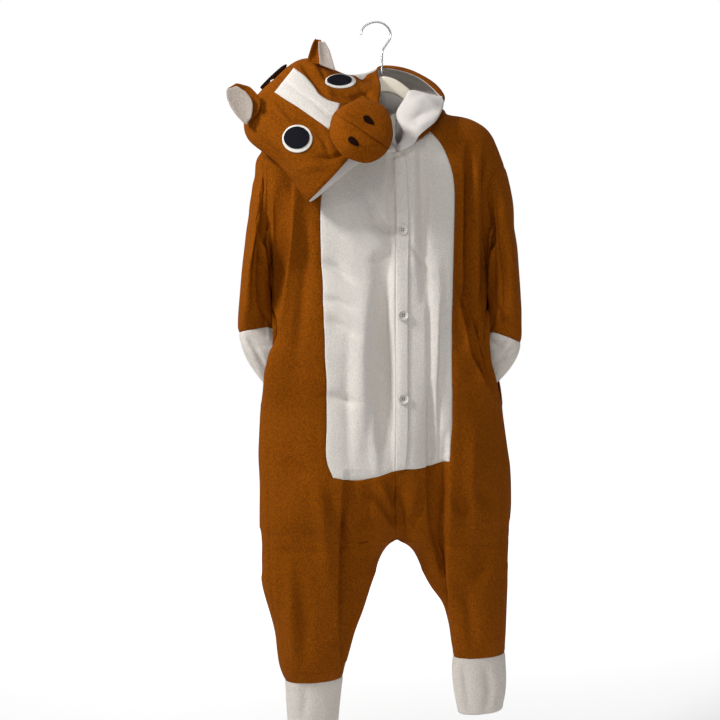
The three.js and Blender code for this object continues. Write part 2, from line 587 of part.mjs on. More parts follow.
function sectionPoint(s, sec, distance, z, back) {
  const x = sec.centre + s.way * distance;
  const q = clamp((distance - sec.middle) / sec.half, -1, 1);
  const base = (1 - Math.abs(q) ** ROUND) ** (1 / ROUND);
  const open = bump(z, POCKET.top, POCKET.bottom);
  const lip = q > 0 ? open * (back ? POCKET.back : POCKET.front) : 0;
  const full = back ? sec.back : sec.front;
  const d = lip + (full - lip) * base;
  const flat = (1 - Math.abs(q) ** 6) * Math.min(1, base * 1.6);
  const y = back ? shear(x) + d : shear(x) - d + folds(x, z) * flat;
  return [seenX(x, y), y, z];
}

const suit = cloth();
const LAST = TORSO.length - 1;
const SPLIT = BELLY_COLUMNS.length - 1; // column of the belly edge
const FRONT = SPLIT + STRIP_COLUMNS; // column of the side seam
const HEM_ROW = TORSO.findIndex((r) => r[0] === -717.6);

function coons(left, right, top, bottom, w, v) {
  const edge = (a, start, end) => sub2(a, mix(start, end, v));
  const straight = mix(top, bottom, v);
  const l = edge(left.at, left.start, left.end);
  const r = edge(right.at, right.start, right.end);
  return [
    straight[0] + (1 - w) * l[0] + w * r[0],
    straight[1] + (1 - w) * l[1] + w * r[1],
  ];
}
const sub2 = (a, b) => [a[0] - b[0], a[1] - b[1]];

for (const s of SIDES) {
  const top = TORSO[0][0];
  const first = section(s, top, null);
  const rightLine = s.armhole.map((p) => [p[0], p[1]]);
  const centreLine = [s.neck[0].slice(0, 2), [CENTRE, top]];
  const bellyLine = s.bellyTop.map((p) => p.slice(0, 2));
  const napeLine = [BACKNECK[2].slice(0, 2), [CENTRE, top]];
  const neckBelly = s.neck.slice(0, 4).map((p) => p.slice(0, 2));
  const neckSide = s.neck.slice(3).map((p) => p.slice(0, 2));
  const shoulder = s.shoulder.map((p) => p.slice(0, 2));
  const backNeck = (s.way > 0 ? BACKNECK.slice(0, 3) : BACKNECK.slice(2).reverse()).map((p) =>
    p.slice(0, 2),
  );
  const stripX = (w) => lerp(first.belly, first.far, Math.sin((w * Math.PI) / 2));
  const frontIds = [];
  const backIds = [];

  // chest and upper back, between the shoulder line and the underarm
  for (let r = 0; r <= CHEST_ROWS; r++) {
    const v = r / CHEST_ROWS;
    const ids = [];
    for (let c = 0; c <= FRONT; c++) {
      const inBelly = c <= SPLIT;
      const w = inBelly ? BELLY_COLUMNS[c] : (c - SPLIT) / STRIP_COLUMNS;
      const neckSteps = STRIP_COLUMNS - SHOULDER_COLUMNS;
      let head;
      if (inBelly) head = along(neckBelly, w);
      else if (c - SPLIT <= neckSteps) head = along(neckSide, (c - SPLIT) / neckSteps);
      else head = along(shoulder, (c - SPLIT - neckSteps) / SHOULDER_COLUMNS);
      const foot = [CENTRE + s.way * (inBelly ? w * first.belly : stripX(w)), top];
      const rail = (line) => ({
        at: along(line, v),
        start: line[0],
        end: line[line.length - 1],
      });
      const p = inBelly
        ? coons(rail(centreLine), rail(bellyLine), head, foot, w, v)
        : coons(rail(bellyLine), rail(rightLine), head, foot, w, v);
      let key = `${s.name}F${c}_${r}`;
      if (c === 0) key = `centre${r}`;
      if (c === FRONT && r === CHEST_ROWS) key = `${s.name}side${r}`;
      if (r === 0 && c - SPLIT >= neckSteps) {
        key = `${s.name}top${c - SPLIT - neckSteps}`;
        ids.push(suit.point(key, () => [seenX(p[0], shear(p[0])), shear(p[0]), p[1]]));
        continue;
      }
      ids.push(
        suit.point(key, () => {
          if (r === CHEST_ROWS) {
            return sectionPoint(s, first, Math.abs(foot[0] - CENTRE), top, false);
          }
          const y = chestDepth(s, p[0], p[1], false);
          return [seenX(p[0], y), y, p[1]];
        }),
      );
    }
    frontIds.push(ids);

    const backRow = [];
    for (let c = 0; c <= BACK_COLUMNS; c++) {
      const w = c / BACK_COLUMNS;
      const onShoulder = c <= SHOULDER_COLUMNS;
      const head = onShoulder
        ? along(shoulder, 1 - c / SHOULDER_COLUMNS)
        : along(backNeck, (c - SHOULDER_COLUMNS) / (BACK_COLUMNS - SHOULDER_COLUMNS));
      const reach = first.far * Math.cos((w * Math.PI) / 2);
      const foot = [CENTRE + s.way * reach, top];
      const rail = (line) => ({ at: along(line, v), start: line[0], end: line[line.length - 1] });
      const p = coons(rail(rightLine), rail(napeLine), head, foot, w, v);
      let key = `${s.name}B${c}_${r}`;
      if (c === BACK_COLUMNS) key = `spine${r}`;
      if (c === 0 && r === CHEST_ROWS) key = `${s.name}side${r}`;
      if (r === 0 && onShoulder) key = `${s.name}top${SHOULDER_COLUMNS - c}`;
      backRow.push(
        suit.point(key, () => {
          if (r === CHEST_ROWS) return sectionPoint(s, first, reach, top, true);
          const y = chestDepth(s, p[0], p[1], true);
          return [seenX(p[0], y), y, p[1]];
        }),
      );
    }
    backIds.push(backRow);
  }

  // hips, crotch and leg: rows of full sections
  const levels = [
    ...TORSO.slice(1).map((r, i) => ({ z: r[0], leg: null, row: i + 1 })),
    ...s.leg.slice(1).map((r, i) => ({ z: r[0], leg: r, row: LAST + 1 + i })),
    ...s.cuff.slice(1).map((r, i) => ({ z: r[0], leg: r, row: LAST + s.leg.length + i })),
  ];
  for (const { z, leg, row: number } of levels) {
    const sec = section(s, z, leg);
    const r = CHEST_ROWS + number;
    const closed = leg || number === LAST;
    const near = Math.max(0, 1 - Math.abs(number - HEM_ROW) / 4);
    const ids = [];
    for (let c = 0; c <= FRONT; c++) {
      const inBelly = c <= SPLIT;
      const w = inBelly ? BELLY_COLUMNS[c] : (c - SPLIT) / STRIP_COLUMNS;
      const toCentre = 1 - w;
      const pull = lerp(toCentre, Math.sin((toCentre * Math.PI) / 2), sec.ratio);
      const distance = inBelly
        ? lerp(sec.belly, sec.near, pull)
        : lerp(sec.belly, sec.far, Math.sin((w * Math.PI) / 2));
      const shift = leg ? 0 : near * row(s.hem, 0, inBelly ? w : 1)[1] * (inBelly ? 1 : 1 - w);
      let key = `${s.name}F${c}_${r}`;
      if (c === 0) key = closed ? `${s.name}inseam${r}` : `centre${r}`;
      if (c === 0 && number === LAST) key = "crotch";
      const open = bump(z, POCKET.top, POCKET.bottom) > 0;
      if (c === FRONT && !open) key = `${s.name}side${r}`;
      ids.push(suit.point(key, () => sectionPoint(s, sec, distance, z + shift, false)));
    }
    frontIds.push(ids);
    const backRow = [];
    for (let c = 0; c <= BACK_COLUMNS; c++) {
      const turn = (c / BACK_COLUMNS) * Math.acos(-sec.ratio);
      const distance = sec.middle + sec.half * Math.cos(turn);
      let key = `${s.name}B${c}_${r}`;
      if (c === BACK_COLUMNS) key = closed ? `${s.name}inseam${r}` : `spine${r}`;
      if (c === BACK_COLUMNS && number === LAST) key = "crotch";
      const open = bump(z, POCKET.top, POCKET.bottom) > 0;
      if (c === 0 && !open) key = `${s.name}side${r}`;
      backRow.push(suit.point(key, () => sectionPoint(s, sec, distance, z, true)));
    }
    backIds.push(backRow);
  }

  const cuffRow = CHEST_ROWS + LAST + s.leg.length - 1;
  const bellyRow = CHEST_ROWS + HEM_ROW;
  const flip = s.way < 0;
  suit.grid(
    frontIds,
    (r, c) => {
      if (r >= cuffRow) return `leg_cuff_${s.name}`;
      return r < bellyRow && c < SPLIT ? `belly_${s.name}` : `front_${s.name}`;
    },
    flip,
  );
  suit.grid(backIds, (r) => (r >= cuffRow ? `leg_cuff_${s.name}` : `back_${s.name}`), flip);
  s.frontIds = frontIds;
  s.backIds = backIds;

  // sleeve: from the armhole loop to the cuff, then the cuff
  const loops = [];
  const half = CHEST_ROWS;
  const count = 2 * half;
  const hole = [];
  for (let i = 0; i < count; i++) {
    if (i <= half) hole.push(frontIds[i][FRONT]);
    else hole.push(backIds[count - i][0]);
  }
  const ring = (r, i, tuck = 0) => {
    const psi = (Math.PI * i) / half;
    const c = power(Math.cos(psi), 2 / SLEEVE_ROUND);
    const h = power(Math.sin(psi), 2 / SLEEVE_ROUND);
    const lean = s.way * tuck * TUCK * r[5] * Math.max(0, h) ** 2 * ((1 - c) / 2);
    const x = (r[0] + r[2]) / 2 + ((r[0] - r[2]) / 2) * c + lean;
    const z = (r[1] + r[3]) / 2 + ((r[1] - r[3]) / 2) * c;
    const y = shear(x) + r[4] - r[5] * h;
    return [seenX(x, y), y, z];
  };
  loops.push(hole);
  const offsets = hole.map((id, i) => sub(suit.points[id], ring(s.sleeve[0], i)));
  s.sleeve.slice(1).forEach((r, k) => {
    const keep = Math.max(0, 1 - (k + 1) / 6);
    const ids = [];
    for (let i = 0; i < count; i++) {
      ids.push(suit.point(null, () => add(ring(r, i, clamp((k - 1) / 3, 0, 1)), offsets[i], keep)));
    }
    loops.push(ids);
  });
  s.armCuff.slice(1).forEach((r) => {
    const ids = [];
    for (let i = 0; i < count; i++) ids.push(suit.point(null, () => ring(r, i, 0.5)));
    loops.push(ids);
  });
  const closedLoops = loops.map((l) => [...l, l[0]]);
  const sleeveRows = s.sleeve.length - 1;
  suit.grid(
    closedLoops,
    (r) => (r < sleeveRows ? `sleeve_${s.name}` : `sleeve_cuff_${s.name}`),
    !flip,
  );
}

const suitNormals = vertexNormals(suit.points, suit.faces);
const quadsOf = (mesh, piece) => mesh.faces.filter((f) => f.piece === piece).map((f) => f.quad);
for (const s of SIDES) {
  const pieces = [
    [`front_${s.name}`, "brown"],
    [`back_${s.name}`, "brown"],
    [`belly_${s.name}`, "white"],
    [`sleeve_${s.name}`, "brown"],
    [`sleeve_cuff_${s.name}`, "white"],
    [`leg_cuff_${s.name}`, "white"],
  ];
  for (const [name, colour] of pieces) {
    const own = suitNormals.own(name);
    const solid = thicken(suit.points, own, quadsOf(suit, name), 0, -FLEECE);
    addSolid(name, solid, colour);
  }
}

// ---- hood: a flattened bag hanging over one shoulder, and the part that joins it to the neck ----
const FACE_HALF = 12; // loop steps across the face side of the bag
const BACK_SHARES = [0, 0.05, 0.09, 0.13, 0.14, 0.19, 0.24, 0.33, 0.44, 0.57, 0.71, 0.85, 1];
const BACK_HALF = BACK_SHARES.length - 1; // loop steps across its back
const FACE_MIDDLE = 5; // step of the seam down the middle of the face
const LOOP = FACE_HALF + BACK_HALF;
const BACK_MIDDLE = LOOP - 1;
const hood = cloth();

function flapPoint(f, i, k) {
  const front = i <= FACE_HALF;
  let share;
  if (front && i <= FACE_MIDDLE) share = (f[10] * i) / FACE_MIDDLE;
  else if (front) share = lerp(f[10], 1, (i - FACE_MIDDLE) / (FACE_HALF - FACE_MIDDLE));
  else share = lerp((LOOP - i) / BACK_HALF, BACK_SHARES[LOOP - i], Math.max(0, 1 - k / 3));
  const swell = Math.sin(Math.PI * share) ** (front || f[7] > 0 ? 0.52 : 1);
  const bow = front ? Math.sin(Math.PI * share ** 0.75) : -0.3 * Math.sin(Math.PI * share);
  const x = lerp(f[0], f[3], share) + f[8] * bow;
  const z = lerp(f[1], f[4], share) + f[9] * bow;
  const y = lerp(f[2], f[5], share) + (front ? -f[6] : f[7]) * swell + creases(x, z, front);
  return seen(x, z, y);
}

// Shallow creases between the eyes and the muzzle.
function creases(x, z, front) {
  if (!front) return 0;
  let total = 0;
  for (const [cx, cz, along, across, tilt, depth] of FACE_CREASES) {
    const c = Math.cos(tilt);
    const n = Math.sin(tilt);
    const u = ((x - cx) * c + (z - cz) * n) / along;
    const v = (-(x - cx) * n + (z - cz) * c) / across;
    total += depth * Math.exp(-u * u - v * v);
  }
  return total;
}

const flapIds = FLAP.map((f, k) => {
  const ids = [];
  for (let i = 0; i < LOOP; i++) ids.push(hood.point(`flap${k}_${i}`, () => flapPoint(f, i, k)));
  return [...ids, ids[0]];
});
const crown = hood.point("crown", () => seen(CROWN[0], CROWN[1], CROWN[2]));
flapIds.push(flapIds[0].map(() => crown));

const half = (i) => (i >= FACE_MIDDLE && i < BACK_MIDDLE ? "hood_right" : "hood_left");
hood.grid(flapIds, (r, c) => half(c));

// The neck of the hood: ribs from the neckline out to the free edge and to the bag's mouth.
const [wearerRight, wearerLeft] = SIDES;
const neckIds = (s) => {
  const steps = STRIP_COLUMNS - SHOULDER_COLUMNS;
  const front = s.frontIds[0].slice(0, SPLIT + steps + 1);
  const back = s.backIds[0].slice(SHOULDER_COLUMNS + 1);
  return [...front, ...back];
};
const neckLine = [...neckIds(wearerLeft), ...neckIds(wearerRight).reverse().slice(1)].map(
  (id) => suit.points[id],
);
const atNeck = (place, lift) => {
  const i = Math.min(Math.floor(place), neckLine.length - 2);
  return add(mix(neckLine[i], neckLine[i + 1], place - i), lift);
};
const onChest = (p) => {
  const s = p[0] < CENTRE ? wearerRight : wearerLeft;
  return chestDepth(s, p[0], p[1], false);
};
const NECK_ROWS = 5;
const ribs = [];
for (const [place, free, ...line] of RIBS) {
  const foot = atNeck(place, [0, 0, 1.2]);
  const points = line.map(([x, z, y]) => seen(x, z, free ? foot[1] + y : y));
  ribs.push([foot, ...points]);
}
const mouthRow = (t) => hood.points[flapIds[0][(LOOP - t) % LOOP]];
OVER.forEach(([place, ...line], k) => {
  const points = line.map(([x, z, y]) => seen(x, z, y));
  ribs.push([atNeck(place, [0, 0, 1.2]), ...points, mouthRow(k + 1)]);
});
const outside = (p, gap) => {
  const flat = [EYE.x + (p[0] - EYE.x) / nearer(p[1]), EYE.z + (p[2] - EYE.z) / nearer(p[1])];
  return [p[0], Math.min(p[1], onChest([flat[0], p[2]]) - gap), p[2]];
};
UNDER.forEach((place, k) => {
  const foot = atNeck(place, [0, -1.4, 1.2]);
  const end = mouthRow(OVER.length + 1 + k);
  const rib = [foot];
  for (let s = 1; s < NECK_ROWS; s++) {
    const p = mix(foot, end, s / NECK_ROWS);
    const slack = clamp(Math.hypot(...sub(end, foot)) / 90, 0, 1);
    rib.push(outside(add(p, [0, -6, 4], slack * Math.sin((Math.PI * s) / NECK_ROWS)), 3));
  }
  ribs.push([...rib, end]);
});
for (const [place, x, z] of LAP) {
  const foot = atNeck(place, [0, -1.4, 1.2]);
  const end = outside(seen(x, z, foot[1] - 4), 5);
  const rib = [foot];
  for (let s = 1; s < NECK_ROWS; s++) {
    rib.push(outside(add(mix(foot, end, s / NECK_ROWS), [0, -2, 0]), 3));
  }
  ribs.push([...rib, end]);
}
const HOOK_RIB = RIBS.length - 1; // rib that ends at the top of the bag's mouth
const patch = ribs.map((rib, k) => {
  const t = k - HOOK_RIB;
  return rib.map((p, s) => {
    if (s === NECK_ROWS && t >= 0 && t <= BACK_HALF) return flapIds[0][(LOOP - t) % LOOP];
    return hood.point(`neck${k}_${s}`, () => p);
  });
});
const NAPE_RIB = HOOK_RIB + LOOP - BACK_MIDDLE;
hood.grid(patch, (r) => (r < NAPE_RIB ? "hood_left" : "hood_right"));

const hoodNormals = vertexNormals(hood.points, hood.faces);
for (const name of ["hood_left", "hood_right"]) {
  const quads = quadsOf(hood, name);
  addSolid(name, thicken(hood.points, hoodNormals, quads, 0, -HOOD_FLEECE, HOOD_SEAM), "brown");
  const inner = -HOOD_FLEECE - LINING_GAP;
  const lining = thicken(hood.points, hoodNormals, quads, inner, inner - LINING, LINING_SEAM);
  addSolid(name.replace("hood", "hood_lining"), lining, "lining");
}

// ---- pieces laid on a surface: outlines seen from the front, carried onto the cloth ----
function frontHit(surface, x, z) {
  const eye = [EYE.x, -EYE.distance, EYE.z];
  const dir = unit(sub([x, 0, z], eye));
  let best = null;
  for (const [a, b, c] of surface.triangles) {
    const p = surface.points;
    const e1 = sub(p[b], p[a]);
    const e2 = sub(p[c], p[a]);
    const h = cross(dir, e2);
    const det = dot(e1, h);
    if (Math.abs(det) < 1e-9) continue;
    const s = sub(eye, p[a]);
    const u = dot(s, h) / det;
    const q = cross(s, e1);
    const v = dot(dir, q) / det;
    if (u < -1e-6 || v < -1e-6 || u + v > 1 + 1e-6) continue;
    const t = dot(e2, q) / det;
    if (t > 0 && (!best || t < best.t)) {
      const n = unit(
        add(
          add(surface.normals[a].map((k) => k * (1 - u - v)), surface.normals[b], u),
          surface.normals[c],
          v,
        ),
      );
      best = { t, point: add(eye, dir, t), normal: n };
    }
  }
  return best;
}
const trianglesOf = (faces) =>
  faces.flatMap(({ quad: q }) => (q.length === 3 ? [q] : [[q[0], q[1], q[2]], [q[0], q[2], q[3]]]));
const hoodSurface = {
  points: hood.points,
  normals: hoodNormals,
  triangles: trianglesOf(hood.faces),
};

// A disc or leaf as rings around a middle; outline(angle) gives its edge as x, z from the middle.
function disc(middle, outline, rings, spokes) {
  const places = [middle];
  const quads = [];
  for (let r = 1; r <= rings; r++) {
    for (let i = 0; i < spokes; i++) {
      const o = outline((2 * Math.PI * i) / spokes);
      places.push([middle[0] + (o[0] * r) / rings, middle[1] + (o[1] * r) / rings, r / rings]);
    }
  }
  const at = (r, i) => (r === 0 ? 0 : 1 + (r - 1) * spokes + (i % spokes));
  for (let r = 0; r < rings; r++) {
    for (let i = 0; i < spokes; i++) {
      const q = [at(r, i), at(r + 1, i), at(r + 1, i + 1), at(r, i + 1)];
      quads.push(q.filter((id, k) => id !== q[(k + 1) % 4]));
    }
  }
  return { places, quads };
}

function laidOn(surface, shape, low, high) {
  const hits = shape.places.map(([x, z]) => frontHit(surface, x, z));
  const good = hits.filter(Boolean);
  const points = hits.map((h) => (h || good[0]).point);
  const normals = hits.map((h) => (h || good[0]).normal);
  return { points, normals, quads: shape.quads, low, high };
}
function addLaid(name, laid, colour, dome = null) {
  const { points, normals, quads, low, high } = laid;
  const solid = thicken(points, normals, quads, high, low, 0);
  if (dome) dome(solid, points.length);
  addSolid(name, solid, colour);
  return solid;
}
const ellipse = (rx, rz, tilt = 0) => (a) => {
  const x = rx * Math.cos(a);
  const z = rz * Math.sin(a);
  return [x * Math.cos(tilt) - z * Math.sin(tilt), x * Math.sin(tilt) + z * Math.cos(tilt)];
};

// white blaze down the middle of the face
const blazeCentre = [];
const blazeQuads = [];
const ACROSS = 5;
const DOWN = 10;
for (let r = 0; r <= DOWN; r++) {
  const b = along(BLAZE.map((p) => p.slice(0, 2)), r / DOWN);
  const e = along(BLAZE.map((p) => p.slice(2, 4)), r / DOWN);
  for (let c = 0; c <= ACROSS; c++) blazeCentre.push(mix(b, e, c / ACROSS));
}
for (let r = 0; r < DOWN; r++) {
  for (let c = 0; c < ACROSS; c++) {
    const a = r * (ACROSS + 1) + c;
    blazeQuads.push([a, a + 1, a + ACROSS + 2, a + ACROSS + 1]);
  }
}
const blaze = { places: blazeCentre, quads: blazeQuads };

const facing = (points, normals, quads) => {
  const total = quads.reduce((s, q) => s + dot(faceNormal(points, q), normals[q[0]]), 0);
  return total < 0 ? quads.map((q) => [...q].reverse()) : quads;
};
function layer(name, surface, shape, low, high, colour) {
  const laid = laidOn(surface, shape, low, high);
  laid.quads = facing(laid.points, laid.normals, laid.quads);
  addLaid(name, laid, colour);
}
layer("blaze", hoodSurface, blaze, 1, 2.2, "white");
EYES.forEach(([x, z, rx, rz, px, pz, prx, prz], i) => {
  const side = i === 0 ? "right" : "left";
  layer(`eye_${side}`, hoodSurface, disc([x, z], ellipse(rx, rz), 3, 20), 0.8, 1.8, "white");
  layer(`pupil_${side}`, hoodSurface, disc([px, pz], ellipse(prx, prz), 3, 20), 2.3, 3.1, "dark");
});

// padded muzzle with the seam down its middle, and two nostrils
const muzzleEdge = (a) => {
  const steps = MUZZLE_RADII.length;
  const at = ((a / (2 * Math.PI)) * steps + steps) % steps;
  const i = Math.floor(at);
  const t = (1 - Math.cos(Math.PI * (at - i))) / 2;
  const r = lerp(MUZZLE_RADII[i % steps], MUZZLE_RADII[(i + 1) % steps], t);
  return [r * Math.cos(a), r * Math.sin(a)];
};
const muzzleShape = disc(MUZZLE_MIDDLE, muzzleEdge, 6, 24);
const muzzleHits = muzzleShape.places.map(([x, z]) => frontHit(hoodSurface, x, z)).filter(Boolean);
const muzzleOut = unit(muzzleHits.reduce((s, h) => add(s, h.normal), [0, 0, 0]));
const muzzleLevel = Math.max(...muzzleHits.map((h) => dot(h.point, muzzleOut))) + 2.8;
const eyePoint = [EYE.x, -EYE.distance, EYE.z];
const muzzlePoints = muzzleShape.places.map(([x, z]) => {
  const dir = sub([x, 0, z], eyePoint);
  return add(eyePoint, dir, (muzzleLevel - dot(eyePoint, muzzleOut)) / dot(dir, muzzleOut));
});
const muzzleNormals = muzzlePoints.map(() => muzzleOut);
const muzzleQuads = facing(muzzlePoints, muzzleNormals, muzzleShape.quads);
const muzzleSolid = thicken(muzzlePoints, muzzleNormals, muzzleQuads, 1.2, 0, 0);
muzzleSolid.ids.forEach((id, i) => {
  const [x, z, share = 0] = muzzleShape.places[id];
  const [cx, cz] = MUZZLE_MIDDLE;
  const seam = Math.abs((x - cx) * MUZZLE_SEAM[1] - (z - cz) * MUZZLE_SEAM[0]);
  const height = MUZZLE_HEIGHT * (1 - share ** 3.2) ** 0.5;
  const groove = 2.2 * Math.exp(-((seam / 3) ** 2)) * (1 - share ** 6);
  muzzleSolid.vertices[i] = add(muzzleSolid.vertices[i], muzzleOut, height - groove);
});
addSolid("muzzle", muzzleSolid, "brown");
const surfaceOf = (solid) => ({
  points: solid.vertices,
  triangles: solid.triangles,
  normals: vertexNormals(solid.vertices, solid.triangles.map((quad) => ({ quad }))),
});
const muzzleSurface = surfaceOf(muzzleSolid);
NOSTRILS.forEach(([x, z], i) => {
  const leaf = (a) => {
    const u = 10.5 * Math.cos(a);
    const v = 5 * Math.sin(a) * (1 - 0.35 * Math.cos(a));
    const c = Math.cos(-0.66);
    const s = Math.sin(-0.66);
    return [u * c - v * s, u * s + v * c];
  };
  const name = `nostril_${i === 0 ? "left" : "right"}`;
  layer(name, muzzleSurface, disc([x, z], leaf, 2, 16), 0.4, 1.2, "dark");
});

// ears: a white inner leaf on a brown outer leaf, each between two edge lines
function earLeaf(name, table, y, cupped, colour) {
  const rows = 7;
  const columns = 5;
  const points = [];
  const quads = [];
  for (let r = 0; r <= rows; r++) {
    const a = along(table.map((p) => p.slice(0, 2)), r / rows);
    const b = along(table.map((p) => p.slice(2, 4)), r / rows);
    for (let c = 0; c <= columns; c++) {
      const [x, z] = mix(a, b, c / columns);
      const cup = cupped * Math.sin((Math.PI * c) / columns) * Math.sin((Math.PI * (r + 1)) / (rows + 2));
      points.push(seen(x, z, y + cup));
    }
  }
  for (let r = 0; r < rows; r++) {
    for (let c = 0; c < columns; c++) {
      const a = r * (columns + 1) + c;
      quads.push([a, a + columns + 1, a + columns + 2, a + 1]);
    }
  }
  const front = points.map(() => [0, -1, 0]);
  const turned = facing(points, front, quads);
  const normals = vertexNormals(points, turned.map((quad) => ({ quad })));
  addSolid(name, thicken(points, normals, turned, 0, -FLEECE, 0), colour);
}
const earDepth = (tables) => {
  let y = Infinity;
  for (const table of tables) {
    for (const p of table) {
      for (const w of [0, 0.5, 1]) {
        const hit = frontHit(hoodSurface, lerp(p[0], p[2], w), lerp(p[1], p[3], w));
        if (hit) y = Math.min(y, hit.point[1]);
      }
    }
  }
  return y - 8;
};
const earRight = earDepth([EAR1W, EAR1B]);
earLeaf("ear_outer_right", EAR1B, earRight, 5, "brown");
earLeaf("ear_inner_right", EAR1W, earRight - 5.5, 3, "white");
const earLeft = earDepth([EAR2W, EAR2B]);
earLeaf("ear_outer_left", EAR2B, earLeft, 5, "brown");
earLeaf("ear_inner_left", EAR2W, earLeft - 5.5, 3, "white");

// A closed body through a row of loops with the same number of points.
function loft(loops) {
  const vertices = loops.flat();
  const n = loops[0].length;
  const triangles = [];
  for (let k = 0; k + 1 < loops.length; k++) {
    for (let i = 0; i < n; i++) {
      const a = k * n + i;
      const b = k * n + ((i + 1) % n);
      triangles.push([a, a + n, b + n], [a, b + n, b]);
    }
  }
  const last = (loops.length - 1) * n;
  for (let i = 1; i + 1 < n; i++) {
    triangles.push([0, i, i + 1], [last, last + i + 1, last + i]);
  }
  let volume = 0;
  for (const t of triangles) {
    const [p, q, r] = t.map((id) => vertices[id]);
    volume += dot(p, cross(q, r));
  }
  if (volume < 0) triangles.forEach((t) => t.reverse());
  return { vertices, triangles };
}

// mane along the seam from the crown down the back
const maneIds = [
  ...[7, 6, 5, 4, 3, 2].map((k) => flapIds[k][BACK_MIDDLE]),
];
const manePath = [flapIds[6][0], flapIds[7][0], crown, ...maneIds];
const maneLoops = manePath.map((id, i) => {
  const p = hood.points[id];
  const next = hood.points[manePath[Math.min(i + 1, manePath.length - 1)]];
  const prev = hood.points[manePath[Math.max(i - 1, 0)]];
  const n = hoodNormals[id];
  const side = unit(cross(unit(sub(next, prev)), n));
  const tall = MANE.height * (i % 2 ? 1 : 0.8);
  const corner = (w, h) => add(add(p, side, w * MANE.half), n, h);
  return [corner(-1, 0.7), corner(1, 0.7), corner(0.5, tall), corner(-0.5, tall)];
});
addSolid("mane", loft(maneLoops), "mane");

// ---- placket, buttons ----
const placketRows = wearerLeft.frontIds.slice(PLACKET_ROW, CHEST_ROWS + HEM_ROW + 1);
const placketQuads = [];
for (let r = 0; r + 1 < placketRows.length; r++) {
  const [a, b] = [placketRows[r], placketRows[r + 1]];
  placketQuads.push([a[0], b[0], b[1], a[1]]);
}
const placket = thicken(suit.points, suitNormals, placketQuads, 1.8, 0.4);
addSolid("placket", placket, "white");
const placketSurface = surfaceOf(placket);
const STEPS = 14;
BUTTONS.forEach(([x, z], k) => {
  const hit = frontHit(placketSurface, x, z);
  const n = hit.normal;
  const right = unit(cross([0, 0, 1], n).map((v) => -v));
  const up = unit(cross(n, right));
  const loops = BUTTON_PROFILE.map(([radius, height]) => {
    const loop = [];
    for (let i = 0; i < STEPS; i++) {
      const a = (2 * Math.PI * i) / STEPS;
      const arm = add(right.map((v) => v * radius * Math.cos(a)), up, radius * Math.sin(a));
      loop.push(add(add(hit.point, arm), n, height));
    }
    return loop;
  });
  addSolid(`button_${k + 1}`, loft(loops), "button");
});

// ---- pocket bags behind the openings the cuffs are tucked into ----
for (const s of SIDES) {
  const points = [];
  const quads = [];
  const around = 14;
  POUCH.forEach(([inward, middle, tall, front, back], k) => {
    for (let i = 0; i < around; i++) {
      const a = (2 * Math.PI * i) / around;
      const z = middle + tall * Math.cos(a);
      const edge = row(TORSO, 0, z)[s.edge];
      const x = (k === 0 ? edge : row(TORSO, 0, POCKET.bottom)[s.edge]) - s.way * inward;
      const full = Math.sqrt(Math.sin((Math.PI * (1 - Math.cos(a))) / 2));
      const y = shear(x) + full * (Math.sin(a) > 0 ? back : -front);
      points.push([seenX(x, y), y, z]);
    }
  });
  for (let k = 0; k + 1 < POUCH.length; k++) {
    for (let i = 0; i < around; i++) {
      const a = k * around + i;
      const b = k * around + ((i + 1) % around);
      quads.push([a, a + around, b + around, b]);
    }
  }
  const last = (POUCH.length - 1) * around;
  for (let i = 1; i < around / 2; i++) {
    quads.push([last + i - 1, last + around - i + 1 - (i === 1 ? around : 0), last + around - i, last + i]);
  }
  const cleaned = quads.map((q) => q.filter((id, j) => id !== q[(j + 1) % q.length]));
  const raw = points.map((p) => p);
  const centre = raw.reduce((c, p) => add(c, p, 1 / raw.length), [0, 0, 0]);
  const out = raw.map((p) => unit(sub(p, centre)));
  const turned = facing(points, out, cleaned);
  const normals = vertexNormals(points, turned.map((quad) => ({ quad })));
  addSolid(`pocket_${s.name}`, thicken(points, normals, turned, 0, -LINING, 0), "brown");
}

// ---- hanger ----
const hangerTable = [...HANGER_L.slice(1).reverse(), ...HANGER_R];
const hangerLoops = hangerTable.map(([x, top, bottom]) => {
  const y = shear(x);
  const loop = [];
  for (let i = 0; i < 12; i++) {
    const a = (2 * Math.PI * (i + 0.5)) / 12;
    const dy = HANGER_HALF * power(Math.cos(a), 0.6);
    const z = (top + bottom) / 2 + ((top - bottom) / 2) * power(Math.sin(a), 0.6);
    loop.push(seen(x, z, y + dy));
  }
  return loop;
});
addSolid("hanger", loft(hangerLoops), "cream");

const curve = new THREE.CatmullRomCurve3(HOOK.map(([x, z]) => new THREE.Vector3(x, 0, z)));
const wire = [];
for (let k = 0; k <= 28; k++) {
  const c = curve.getPoint(k / 28);
  const t = curve.getTangent(k / 28);
  const loop = [];
  for (let i = 0; i < 6; i++) {
    const a = (2 * Math.PI * i) / 6;
    const side = [-t.z, 0, t.x];
    loop.push(add([c.x, WIRE * Math.sin(a), c.z], side, WIRE * Math.cos(a)));
  }
  wire.push(loop);
}
addSolid("hanger_hook", loft(wire), "steel");

export default group;
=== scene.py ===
import json
import math
from collections import defaultdict

import bmesh
import bpy
import numpy as np
from mathutils import Matrix, Vector, kdtree, noise
from mathutils.bvhtree import BVHTree


